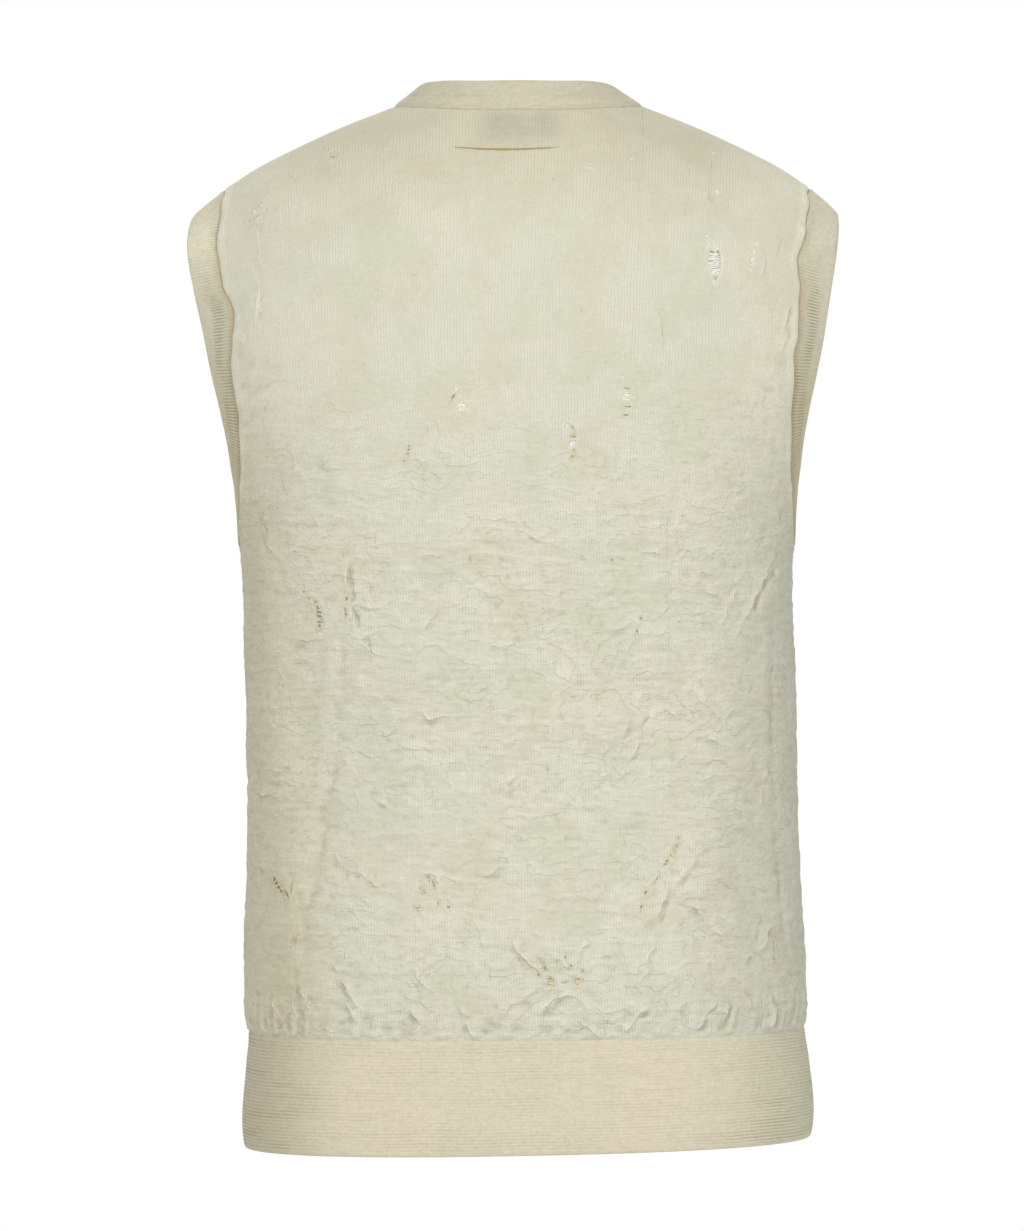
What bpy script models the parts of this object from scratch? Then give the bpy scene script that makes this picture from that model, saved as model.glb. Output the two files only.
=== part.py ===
"""Sleeveless knitted vest, worn shape: a wool body in two panels with ribbed bands at hem, neck and armholes.

Metres, +Z up. The front faces -Y and the wearer's left is +X. The origin is midway between the
high shoulder points, where the wearer's shoulders carry the garment.
"""

import math
from collections import namedtuple

import bmesh
import bpy
import numpy as np

# ---------------------------------------------------------------- driving dimensions

HEM_EDGE = -0.6340  # height of the hem's lower edge
HEM_SEAM = -0.5650  # height of the seam between body and hem band
UNDERARM = -0.2720  # height of the armhole's lowest point
SEAM_GAP = 0.0003  # the pieces stand this far apart at straight seams
CURVED_GAP = 0.0006  # and this far at curved ones, whose edges are short straight facets
PANEL_WALL = 0.0018  # thickness of the body cloth
BAND_WALL = 0.0026  # thickness of the doubled rib bands
SQUARENESS = 2.4  # exponent of the body's rounded sections

# The body's horizontal sections. back and front are depths from the side seam's plane.
# drop is how much a section hangs lower for each metre to the left.
Section = namedtuple("Section", "height half_width back front shift drop")
SECTIONS = (
    Section(-0.6340, 0.1710, 0.1100, 0.1040, -0.0054, 0.020),
    Section(-0.6260, 0.1721, 0.1112, 0.1050, -0.0055, 0.019),
    Section(-0.5850, 0.1698, 0.1100, 0.1045, -0.0053, 0.012),
    Section(-0.5650, 0.1680, 0.1085, 0.1032, -0.0045, 0.009),
    Section(-0.5560, 0.1696, 0.1108, 0.1054, -0.0040, 0.008),
    Section(-0.5400, 0.1702, 0.1120, 0.1064, -0.0036, 0.007),
    Section(-0.4750, 0.1680, 0.1078, 0.1052, -0.0028, 0.004),
    Section(-0.4150, 0.1667, 0.1050, 0.1060, -0.0021, 0.002),
    Section(-0.3500, 0.1669, 0.1072, 0.1092, -0.0009, 0.000),
    Section(-0.2720, 0.1676, 0.1124, 0.1130, 0.0014, 0.000),
    Section(-0.2220, 0.1770, 0.1140, 0.1140, 0.0022, 0.000),
    Section(-0.1720, 0.1860, 0.1140, 0.1125, 0.0030, 0.000),
    Section(-0.1100, 0.1908, 0.1110, 0.1070, 0.0030, 0.000),
    Section(-0.0500, 0.1955, 0.1060, 0.0980, 0.0012, 0.000),
    Section(0.0000, 0.1965, 0.1030, 0.0920, 0.0002, 0.000),
    Section(0.0700, 0.1965, 0.1030, 0.0900, 0.0002, 0.000),
)

# The shoulder ridge: its height at each distance from the centre line.
RidgePoint = namedtuple("RidgePoint", "across height")
RIDGE = (
    RidgePoint(-0.040, 0.0115),  # beyond the centre, so that the curve is level there
    RidgePoint(0.000, 0.0180),
    RidgePoint(0.040, 0.0115),
    RidgePoint(0.077, -0.0022),
    RidgePoint(0.110, -0.0152),
    RidgePoint(0.137, -0.0276),
    RidgePoint(0.162, -0.0406),
    RidgePoint(0.181, -0.0540),
    RidgePoint(0.200, -0.0700),
)
RIDGE_DEPTH = -0.004  # the ridge lies a little forward of the side seams
ARCH_RISE = 0.110  # the panels start to arch over this far below the ridge
ARCH_LENGTH = 0.158  # length of cloth in that arch

# The armhole, seen from the side: the depths of its back and front edges at each level.
Scye = namedtuple("Scye", "height back front")
ARMHOLE = (
    Scye(-0.272, 0.055, 0.064),
    Scye(-0.172, 0.055, 0.068),
    Scye(-0.110, 0.055, 0.065),
    Scye(-0.050, 0.055, 0.057),
    Scye(0.000, 0.055, 0.048),
)
ARMHOLE_BOWL = 0.100  # height of its rounded lower part
SHOULDER_POINT = 0.1775  # how far out the shoulder seam ends
ARM_BAND_WIDTH = 0.0235

# The neck.
NECK_HALF = 0.077  # half the neck's width at the shoulder seams
NECK_BACK = 0.066  # depth of the back neck seam at the centre
V_POINT = -0.2500  # height of the seam's point at the centre front
V_CURVE = 1.12  # 1 is a straight V, and more bows it outwards
NECK_BAND_WIDTH = 0.0200

# How steeply the neckband stands, against lying on with the cloth.
# past is 0 at centre back and 1 at the shoulder seam.
Stand = namedtuple("Stand", "past upward")
NECK_BAND_STAND = (
    Stand(0.00, 1.20),
    Stand(0.35, 1.00),
    Stand(0.60, 0.62),
    Stand(0.80, 0.30),
    Stand(1.00, 0.10),
    Stand(1.30, 0.03),
    Stand(1.60, 0.00),
    Stand(9.00, 0.00),
)

# How far out the armhole band points, against pointing into the armhole, at each height.
Lean = namedtuple("Lean", "height outward")
ARM_BAND_LEAN = (
    Lean(-0.272, 0.03),
    Lean(-0.232, 0.16),
    Lean(-0.200, 0.26),
    Lean(-0.171, 0.38),
    Lean(-0.140, 0.55),
    Lean(-0.109, 0.76),
    Lean(-0.082, 0.90),
    Lean(-0.065, 0.88),
    Lean(-0.046, 0.80),
)

# Facet counts. Rows and columns are even, because the plain inside has half as many.
COLUMNS_TO_NECK = 8  # from the centre line to the high shoulder point
COLUMNS_TO_EDGE = 12  # from there to the armhole
ROWS_BODY = 28
ROWS_BOWL = 6
ROWS_TOP = 10
HEM_STEPS = 64

# ---------------------------------------------------------------- creases and gathers

# Soft folds that move the whole wall: x and z of the middle, length, angle from upright, width, height.
Fold = namedtuple("Fold", "x z length tilt width height")
BACK_FOLDS = (
    Fold(0.118, -0.420, 0.240, 6, 0.016, -0.0026),
    Fold(0.140, -0.430, 0.260, 3, 0.015, 0.0022),
    Fold(-0.146, -0.450, 0.220, -3, 0.017, -0.0022),
    Fold(-0.118, -0.400, 0.160, -10, 0.018, 0.0016),
    Fold(0.060, -0.380, 0.150, 8, 0.022, 0.0012),
    Fold(-0.040, -0.470, 0.160, -12, 0.024, 0.0012),
    Fold(0.152, -0.300, 0.080, 8, 0.013, 0.0022),
    Fold(-0.148, -0.300, 0.090, -14, 0.013, 0.0024),
)
FRONT_FOLDS = (
    Fold(0.124, -0.400, 0.200, 8, 0.017, -0.0024),
    Fold(0.142, -0.440, 0.230, 3, 0.015, 0.0020),
    Fold(-0.126, -0.420, 0.220, -6, 0.017, -0.0024),
    Fold(-0.145, -0.420, 0.200, -4, 0.015, 0.0020),
    Fold(0.052, -0.420, 0.180, 10, 0.022, 0.0014),
    Fold(-0.056, -0.400, 0.170, -9, 0.022, 0.0014),
    Fold(0.146, -0.300, 0.090, 12, 0.013, 0.0022),
    Fold(-0.146, -0.305, 0.090, -12, 0.013, 0.0022),
)

# Raised creases of the shrunken cloth, in its outer face only.
BACK_CREASES = (
    Fold(0.140, -0.286, 0.057, 14, 0.008, 0.0023),
    Fold(0.125, -0.276, 0.041, 78, 0.008, 0.0017),
    Fold(0.104, -0.292, 0.046, -24, 0.008, 0.0023),
    Fold(0.128, -0.330, 0.051, 62, 0.008, 0.0026),
    Fold(0.104, -0.325, 0.044, -52, 0.008, 0.0026),
    Fold(0.086, -0.336, 0.051, -38, 0.008, 0.0023),
    Fold(0.056, -0.328, 0.053, 34, 0.008, 0.0020),
    Fold(0.040, -0.352, 0.046, 70, 0.008, 0.0014),
    Fold(0.062, -0.374, 0.069, 86, 0.008, 0.0017),
    Fold(0.080, -0.390, 0.041, 22, 0.008, 0.0020),
    Fold(0.136, -0.372, 0.053, -70, 0.008, 0.0020),
    Fold(0.138, -0.404, 0.057, 80, 0.008, 0.0020),
    Fold(0.134, -0.436, 0.051, -82, 0.008, 0.0020),
    Fold(0.144, -0.466, 0.060, -40, 0.008, 0.0026),
    Fold(0.136, -0.500, 0.057, 16, 0.008, 0.0023),
    Fold(0.104, -0.452, 0.060, -60, 0.008, 0.0020),
    Fold(0.074, -0.480, 0.057, -44, 0.008, 0.0020),
    Fold(0.054, -0.470, 0.046, 30, 0.008, 0.0023),
    Fold(0.030, -0.456, 0.064, 64, 0.008, 0.0023),
    Fold(0.000, -0.444, 0.051, -28, 0.008, 0.0017),
    Fold(-0.024, -0.428, 0.053, 50, 0.008, 0.0017),
    Fold(0.084, -0.512, 0.057, -34, 0.008, 0.0023),
    Fold(0.056, -0.520, 0.051, -48, 0.008, 0.0023),
    Fold(0.030, -0.508, 0.051, 44, 0.008, 0.0020),
    Fold(0.006, -0.498, 0.064, -40, 0.008, 0.0029),
    Fold(-0.018, -0.522, 0.053, 58, 0.008, 0.0032),
    Fold(-0.036, -0.506, 0.053, -62, 0.008, 0.0026),
    Fold(-0.054, -0.530, 0.046, -40, 0.008, 0.0026),
    Fold(-0.080, -0.508, 0.064, 26, 0.008, 0.0026),
    Fold(-0.102, -0.490, 0.057, -32, 0.008, 0.0023),
    Fold(-0.086, -0.462, 0.074, 34, 0.008, 0.0035),
    Fold(-0.114, -0.456, 0.057, -46, 0.008, 0.0023),
    Fold(-0.138, -0.500, 0.081, 12, 0.008, 0.0029),
    Fold(-0.072, -0.380, 0.076, 40, 0.008, 0.0026),
    Fold(-0.096, -0.366, 0.064, -52, 0.008, 0.0026),
    Fold(-0.118, -0.384, 0.064, 46, 0.008, 0.0029),
    Fold(-0.134, -0.404, 0.046, -34, 0.008, 0.0020),
    Fold(-0.084, -0.410, 0.057, 82, 0.008, 0.0020),
    Fold(-0.060, -0.332, 0.057, 36, 0.008, 0.0023),
    Fold(-0.098, -0.322, 0.069, 48, 0.008, 0.0026),
    Fold(-0.124, -0.336, 0.069, 34, 0.008, 0.0029),
    Fold(-0.138, -0.292, 0.069, 24, 0.008, 0.0029),
    Fold(-0.104, -0.282, 0.057, -66, 0.008, 0.0017),
    Fold(-0.020, -0.304, 0.053, -72, 0.008, 0.0017),
    Fold(0.014, -0.318, 0.046, 80, 0.008, 0.0014),
    Fold(-0.004, -0.376, 0.064, -84, 0.008, 0.0017),
    Fold(-0.034, -0.400, 0.046, 62, 0.008, 0.0017),
    Fold(0.022, -0.412, 0.057, 86, 0.008, 0.0017),
)
# The front's creases are like those of the back: the same lengths, in other places.
FRONT_CREASE_MOVE = (0.0120, -0.0070)
FRONT_CREASE_TURN = 14

GATHERS = 20  # small folds along each panel's hem seam
GATHER_REACH = 0.046  # how far up they run
GATHER_HEIGHT = 0.0024
GATHER_SLANT = 0.35  # sideways run for each metre upwards

# Rips in the back that go right through: place, half width, half height, angle from upright.
Rip = namedtuple("Rip", "name x z half_width half_height tilt")
RIPS = (
    Rip("shoulder", -0.1178, -0.1018, 0.0037, 0.0075, 8),
    Rip("upper_left", 0.0339, -0.1874, 0.0023, 0.0030, 0),
    Rip("upper_right", -0.0645, -0.1814, 0.0027, 0.0040, 0),
    Rip("side", 0.1178, -0.3105, 0.0022, 0.0050, 6),
    Rip("low_side", 0.1455, -0.4720, 0.0021, 0.0058, 42),
)
RIP_SIDES = 10
RIP_CUT = 0.012  # how far each cutter reaches to either side of the wall

# The short tuck pinched across the back below the neck.
TUCK_ENDS = (0.0380, -0.0285)  # x of its two ends
TUCK_HEIGHT = -0.0320
TUCK_SAG = 0.0024
TUCK_DEEP = 0.0024  # how far it stands out
TUCK_TALL = 0.0032
TUCK_STEPS = 12

KNIT_COLOUR = (0.70, 0.68, 0.55, 1.0)
BAND_COLOUR = (0.70, 0.65, 0.49, 1.0)
KNIT_ROUGHNESS = 0.9


# ---------------------------------------------------------------- small helpers


def through(rows, column, at, key="height"):
    """A smooth curve through one column of a table: cubic pieces, with slopes from their neighbours."""
    knots = np.array([getattr(row, key) for row in rows])
    values = np.array([getattr(row, column) for row in rows])
    slopes = np.gradient(values, knots)
    at = np.clip(np.asarray(at, float), knots[0], knots[-1])
    i = np.clip(np.searchsorted(knots, at) - 1, 0, len(knots) - 2)
    span = knots[i + 1] - knots[i]
    t = (at - knots[i]) / span
    return (
        values[i] * (1 + 2 * t) * (1 - t) ** 2
        + slopes[i] * span * t * (1 - t) ** 2
        + values[i + 1] * t * t * (3 - 2 * t)
        + slopes[i + 1] * span * t * t * (t - 1)
    )


def unit(vectors):
    return vectors / np.maximum(np.linalg.norm(vectors, axis=-1, keepdims=True), 1e-12)


def smoothstep(t):
    t = np.clip(t, 0, 1)
    return t * t * (3 - 2 * t)


# ---------------------------------------------------------------- the body's surface


def body_point(angle, level):
    """The body at an angle round its section (0 at the left seam, a quarter turn at centre back) and a level.

    Below the arch a level is a height. Above, it counts cloth running up and over the shoulder ridge.
    """
    power = 2 / SQUARENESS
    cosine, sine = np.cos(angle), np.sin(angle)
    across = through(SECTIONS, "half_width", level) * np.sign(cosine) * np.abs(cosine) ** power
    back = through(SECTIONS, "back", level)
    front = through(SECTIONS, "front", level)
    depth = np.where(sine > 0, back, -front) * np.abs(sine) ** power
    start = through(RIDGE, "height", np.abs(across), "across") - ARCH_RISE
    over = np.maximum(level - start, 0) / ARCH_LENGTH * math.pi / 2
    y = RIDGE_DEPTH * (1 - np.cos(over)) + depth * np.cos(over)
    z = np.where(level > start, start + ARCH_RISE * np.sin(over), level)
    x = across + through(SECTIONS, "shift", level)
    return np.stack([x, y, z - x * through(SECTIONS, "drop", level)], axis=-1)


def body_normal(angle, level):
    """The body's outward direction, from the slopes of body_point."""
    turn, rise = 0.02, 0.002
    round_it = body_point(angle + turn, level) - body_point(angle - turn, level)
    up = body_point(angle, level + rise) - body_point(angle, level - rise)
    return unit(np.cross(round_it, up))


DENSE_ANGLES = np.linspace(0, math.pi, 721)
DENSE_RING = body_point(DENSE_ANGLES, np.full(721, -0.30))
DENSE_ARC = np.concatenate([[0], np.cumsum(np.linalg.norm(np.diff(DENSE_RING, axis=0), axis=1))])
DENSE_ARC = DENSE_ARC / DENSE_ARC[-1]


def angle_at(share):
    """The angle at a share of the way round the back, measured along the cloth."""
    return np.interp(share, DENSE_ARC, DENSE_ANGLES)


def share_at(angle):
    return np.interp(angle, DENSE_ANGLES, DENSE_ARC)


def edge_angle(level, side):
    """The angle of a panel's edge: the side seam below the armhole, and the armhole's edge above."""
    deep = through(ARMHOLE, "back" if side > 0 else "front", level)
    depth = through(SECTIONS, "back" if side > 0 else "front", level)
    bowl = np.clip((UNDERARM + ARMHOLE_BOWL - level) / ARMHOLE_BOWL, 0, 1)
    y = np.maximum(deep * np.sqrt(1 - bowl**2), SEAM_GAP / 2)
    return np.arcsin(np.clip(y / depth, 0, 1) ** (SQUARENESS / 2))


def ridge_level(across):
    return through(RIDGE, "height", across, "across") - ARCH_RISE + ARCH_LENGTH


SHOULDER_LEVEL = float(ridge_level(SHOULDER_POINT))
TOP_ANGLE = float(np.arccos((SHOULDER_POINT / SECTIONS[-1].half_width) ** (SQUARENESS / 2)))


def top_across(u):
    """Distance from the centre line, at the top of the column that lies u of the way to the armhole."""
    share = 0.5 - np.abs(u) * (0.5 - share_at(TOP_ANGLE))
    return SECTIONS[-1].half_width * np.maximum(np.cos(angle_at(share)), 0) ** (2 / SQUARENESS)


COLUMN = np.linspace(0, 1, 2001)
# The column that meets the high shoulder point.
NECK_COLUMN = float(np.interp(NECK_HALF, top_across(COLUMN), COLUMN))


def top_level(u, side):
    """Where each column of a panel ends: on the shoulder ridge, or on the neck seam."""
    across = top_across(u)
    level = ridge_level(across)
    inside = np.clip(np.abs(u) / NECK_COLUMN, 0, 1)
    high = ridge_level(NECK_HALF)
    if side > 0:
        depth = SECTIONS[-1].back * (1 - (across / SECTIONS[-1].half_width) ** SQUARENESS) ** (1 / SQUARENESS)
        oval = RIDGE_DEPTH + (NECK_BACK - RIDGE_DEPTH) * np.sqrt(1 - np.clip(across / NECK_HALF, 0, 1) ** 2)
        turn = np.arccos(np.clip((oval - RIDGE_DEPTH) / (depth - RIDGE_DEPTH), 0, 1))
        start = through(RIDGE, "height", across, "across") - ARCH_RISE
        neck = start + ARCH_LENGTH * turn / (math.pi / 2)
    else:
        neck = V_POINT + (high - V_POINT) * inside**V_CURVE
    return np.where(inside < 1, neck, level)


def edge_levels():
    """Levels of a panel's rows along its side: even below the armhole, by angle in its bowl, even above."""
    body = np.linspace(HEM_SEAM, UNDERARM, ROWS_BODY + 1)
    bowl = UNDERARM + ARMHOLE_BOWL * (1 - np.cos(np.linspace(0, math.pi / 2, ROWS_BOWL + 1)))
    top = np.linspace(UNDERARM + ARMHOLE_BOWL, SHOULDER_LEVEL, ROWS_TOP + 1)
    return np.concatenate([body, bowl[1:], top[1:]])


def panel_places(side):
    """(angle, level) of each point of a panel's grid, rows from the hem up and columns from left to right."""
    bow = 0.85 if side > 0 else 0.25  # the back neck's columns crowd towards its corners
    neck = np.sin(bow * np.linspace(0, math.pi / 2, COLUMNS_TO_NECK + 1)) / math.sin(bow * math.pi / 2)
    neck = np.interp(NECK_HALF * neck, top_across(COLUMN), COLUMN)
    half = np.concatenate([neck, np.linspace(NECK_COLUMN, 1, COLUMNS_TO_EDGE + 1)[1:]])
    u = np.concatenate([half[::-1], -half[1:]])
    edge = edge_levels()
    rise = (edge - HEM_SEAM) / (SHOULDER_LEVEL - HEM_SEAM)
    level = HEM_SEAM + (top_level(u, side)[None, :] - HEM_SEAM) * rise[:, None]
    inset = share_at(edge_angle(edge, side))
    inset[-1] = share_at(TOP_ANGLE)
    share = 0.5 - u[None, :] * (0.5 - inset[:, None])
    return angle_at(share) * side, level, u, rise


# ---------------------------------------------------------------- folds in the cloth


def fold_height(folds, x, z):
    """The height that a table of folds gives each place: a soft ridge across each, fading to its ends."""
    total = np.zeros_like(x)
    for fold in folds:
        lean = math.radians(fold.tilt)
        along = (x - fold.x) * math.sin(lean) + (z - fold.z) * math.cos(lean)
        beside = (x - fold.x) * math.cos(lean) - (z - fold.z) * math.sin(lean)
        fade = np.clip(1 - (2 * along / fold.length) ** 2, 0, 1)
        total = total + fold.height * np.exp(-((beside / fold.width) ** 2)) * fade
    return total


def moved(creases):
    """The creases of the back, moved and turned for the front."""
    dx, dz = FRONT_CREASE_MOVE
    return tuple(c._replace(x=dx - c.x, z=c.z + dz, tilt=FRONT_CREASE_TURN - c.tilt) for c in creases)


def gather_height(u, z):
    """Small folds that fan up from the hem seam, where the wide body is eased onto the narrower band."""
    up = z - HEM_SEAM
    wave = np.cos(math.pi * GATHERS * (u + GATHER_SLANT * up))
    return GATHER_HEIGHT * (0.5 + 0.5 * wave) * smoothstep(up / 0.010) * (1 - smoothstep(up / GATHER_REACH))


# ---------------------------------------------------------------- closed walls


def add_object(name, points, faces, colour):
    """One closed piece, with its faces turned outwards and its own material."""
    mesh = bpy.data.meshes.new(name)
    mesh.from_pydata(points, [], faces)
    work = bmesh.new()
    work.from_mesh(mesh)
    bmesh.ops.recalc_face_normals(work, faces=work.faces)
    work.to_mesh(mesh)
    work.free()
    mesh.shade_smooth()
    mesh.set_sharp_from_angle(angle=math.radians(50))
    material = bpy.data.materials.new(name + "_knit")
    material.use_nodes = True
    shader = material.node_tree.nodes["Principled BSDF"]
    shader.inputs["Base Color"].default_value = colour
    shader.inputs["Roughness"].default_value = KNIT_ROUGHNESS
    shader.inputs["Metallic"].default_value = 0.0
    mesh.materials.append(material)
    made = bpy.data.objects.new(name, mesh)
    bpy.context.scene.collection.objects.link(made)
    return made


def sheet_wall(outer, inner):
    """Points and faces of a wall between a fine outer grid and a plain inner one of half its rows and columns.

    Each cell is split along its shorter diagonal, so that the sheared cells beside the neck stay smooth.
    """
    rows, columns = outer.shape[0] - 1, outer.shape[1] - 1
    fine = np.arange((rows + 1) * (columns + 1)).reshape(rows + 1, columns + 1)
    half = (rows // 2 + 1, columns // 2 + 1)
    coarse = fine.size + np.arange(half[0] * half[1]).reshape(half)
    faces = []
    points = np.concatenate([outer.reshape(-1, 3), inner[::2, ::2].reshape(-1, 3)])
    for grid, flip in ((fine, False), (coarse, True)):
        a, b, c, d = (g.ravel() for g in (grid[:-1, :-1], grid[:-1, 1:], grid[1:, 1:], grid[1:, :-1]))
        across_one, across_two = (np.linalg.norm(points[m] - points[n], axis=1) for m, n in ((a, c), (b, d)))
        shorter = (across_one < across_two)[:, None]
        one = np.where(shorter, np.stack([a, b, c], axis=1), np.stack([a, b, d], axis=1))
        two = np.where(shorter, np.stack([a, c, d], axis=1), np.stack([b, c, d], axis=1))
        both = np.concatenate([one, two])
        faces += (both[:, ::-1] if flip else both).tolist()
    rim_fine = np.concatenate([fine[0, :], fine[1:, -1], fine[-1, -2::-1], fine[-2:0:-1, 0]])
    edges = (coarse[0, :], coarse[1:, -1], coarse[-1, -2::-1], coarse[-2:0:-1, 0])
    rim_coarse = np.concatenate(edges)
    for k in range(len(rim_coarse)):
        a, b, c = (rim_fine[(2 * k + n) % len(rim_fine)] for n in range(3))
        d, e = rim_coarse[k], rim_coarse[(k + 1) % len(rim_coarse)]
        faces += [(b, a, d), (b, d, e), (c, b, e)]
    return points.tolist(), [tuple(int(n) for n in face) for face in faces]


def ring_wall(outer, inner):
    """Points and faces of a closed band: its rows run across it and its columns all the way round."""
    rows, columns = outer.shape[0], outer.shape[1]
    first = np.arange(rows * columns).reshape(rows, columns)
    loop = np.concatenate([first, (first + rows * columns)[::-1]])
    faces = []
    for i in range(len(loop)):
        below, above = loop[i], loop[(i + 1) % len(loop)]
        for j in range(columns):
            k = (j + 1) % columns
            a, b, c, d = int(below[j]), int(below[k]), int(above[k]), int(above[j])
            if i < len(loop) - 1:
                faces.append((a, b, c, d))
            else:  # the seam's own face is split as the panel's is
                faces += [(a, b, d), (b, c, d)] if j % 2 else [(a, c, d), (a, b, c)]
    points = np.concatenate([outer.reshape(-1, 3), inner.reshape(-1, 3)])
    return points.tolist(), faces


# ---------------------------------------------------------------- body panels


def panel(name, side, folds, creases):
    angle, level, u, rise = panel_places(side)
    base = body_point(angle, level)
    normal = body_normal(angle, level)
    normal[0, :, 2] = 0  # the wall is cut level at the hem seam
    normal[:, [0, -1], 1] *= (level[:, [0, -1]] > UNDERARM + 0.001)  # square at the side seams
    shoulder = np.abs(u) >= NECK_COLUMN - 1e-9
    normal[-1, shoulder, 1] = 0  # and at the shoulder seams
    base[-1, shoulder, 1] = RIDGE_DEPTH + side * SEAM_GAP / 2
    normal = unit(normal)
    x, z = base[..., 0], base[..., 2]
    near_edge = smoothstep((1 - np.abs(u))[None, :] / 0.12) * smoothstep((1 - rise)[:, None] / 0.08)
    quiet_top = 1 - smoothstep((z + 0.27) / 0.05)
    soft = fold_height(folds, x, z) * near_edge * smoothstep((z - HEM_SEAM) / 0.02)
    base = base + normal * soft[..., None]
    raised = fold_height(creases, x, z) * quiet_top * smoothstep((z - HEM_SEAM) / 0.014)
    raised = np.maximum(raised, 0) + gather_height(u[None, :], z)
    raised = raised * near_edge
    outer = base + normal * (PANEL_WALL + raised)[..., None]
    points, faces = sheet_wall(outer, base)
    return add_object(name, points, faces, KNIT_COLOUR), base, outer


def cut_rips(back):
    """Cuts each rip through the back panel, square to its surface."""
    for rip in RIPS:
        middle, normal = back_surface(rip.x, rip.z)
        side = unit(np.cross([0, 0, 1], normal))
        up = np.cross(normal, side)
        lean = math.radians(rip.tilt)
        turned_side = side * math.cos(lean) + up * math.sin(lean)
        turned_up = up * math.cos(lean) - side * math.sin(lean)
        points = []
        for reach in (-RIP_CUT, RIP_CUT):
            for k in range(RIP_SIDES):
                turn = 2 * math.pi * k / RIP_SIDES
                beside = turned_side * rip.half_width * math.cos(turn)
                along = turned_up * rip.half_height * math.sin(turn)
                points.append((middle + beside + along + normal * reach).tolist())
        ends = [tuple(range(RIP_SIDES)), tuple(range(RIP_SIDES, 2 * RIP_SIDES))]
        pairs = [(k, (k + 1) % RIP_SIDES) for k in range(RIP_SIDES)]
        walls = [(k, n, RIP_SIDES + n, RIP_SIDES + k) for k, n in pairs]
        cutter = add_object("rip_cutter_" + rip.name, points, ends + walls, KNIT_COLOUR)
        cutter.hide_render = True
        cutter.display_type = "WIRE"
        cut = back.modifiers.new("rip_" + rip.name, "BOOLEAN")
        cut.operation = "DIFFERENCE"
        cut.object = cutter


def back_surface(x, z):
    """The place and outward direction on the back's inner surface at x and z, found by halving steps."""
    angle, level = math.pi / 2, z
    for _ in range(40):
        place = body_point(np.array(angle), np.array(level))
        angle += float(place[0] - x) * 4
        level += float(z - place[2])
    return body_point(np.array(angle), np.array(level)), body_normal(np.array(angle), np.array(level))


# ---------------------------------------------------------------- bands


def straightened(edge):
    """An edge as the wall's plain inside has it: every second point, and the others half-way between them."""
    line = edge.copy()
    line[1:-1:2] = (edge[:-2:2] + edge[2::2]) / 2
    return line


def joined(first, second):
    """Two edges that meet end to end, as one ring of points without doubles."""
    ring = np.concatenate([first, second[1:-1]])
    ring[0] = (first[0] + second[-1]) / 2
    ring[len(first) - 1] = (first[-1] + second[0]) / 2
    return ring


def arm_band(name, hand, back, front):
    """The rib band round one armhole, from the panels' edges: hand is 1 on the left, -1 on the right."""
    column = 0 if hand > 0 else -1
    edges = []
    for face in (0, 1):
        down = back[face][ROWS_BODY:, column][::-1]
        up = front[face][ROWS_BODY:, column]
        edges.append(joined(straightened(down), straightened(up)) if face == 0 else joined(down, up))
    seam = edges[0]
    normals = unit(edges[1] - seam)
    tangent = unit(np.roll(edges[1], -1, axis=0) - np.roll(edges[1], 1, axis=0))
    away = unit(np.cross(tangent, normals)) * hand
    inward = unit(np.stack([np.zeros(len(seam)), tangent[:, 2], -tangent[:, 1]], axis=1))
    outward = through(ARM_BAND_LEAN, "outward", seam[:, 2])[:, None]
    lean = outward * np.array([1.0, 0.0, 0.0]) * hand + np.sqrt(1 - outward**2) * inward
    facing = unit(np.cross(lean, tangent)) * hand
    foot = seam + away * CURVED_GAP
    inner = [foot] + [foot + lean * ARM_BAND_WIDTH * share for share in (0.3, 0.65, 1.0)]
    outer = [edges[1] + away * CURVED_GAP + normals * (BAND_WALL - PANEL_WALL)]
    outer += [row + facing * BAND_WALL for row in inner[1:]]
    points, faces = ring_wall(np.stack(outer), np.stack(inner))
    return add_object(name, points, faces, BAND_COLOUR)


def spread(line, values, shares):
    """Points and values along a line, at shares of its length."""
    along = np.concatenate([[0], np.cumsum(np.linalg.norm(np.diff(line, axis=0), axis=1))])
    at = shares * along[-1]
    return tuple(np.stack([np.interp(at, along, a[:, k]) for k in range(3)], axis=1) for a in (line, values))


def smoothed(directions, reach=30, rounds=3):
    """Directions along a line, each averaged with those near it, so that the line's facets don't show."""
    for _ in range(rounds):
        padded = np.pad(unit(directions), ((reach, reach), (0, 0)), mode="edge")
        sums = np.cumsum(np.pad(padded, ((1, 0), (0, 0))), axis=0)
        directions = sums[2 * reach + 1 :] - sums[: -2 * reach - 1]
    return unit(directions)


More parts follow.
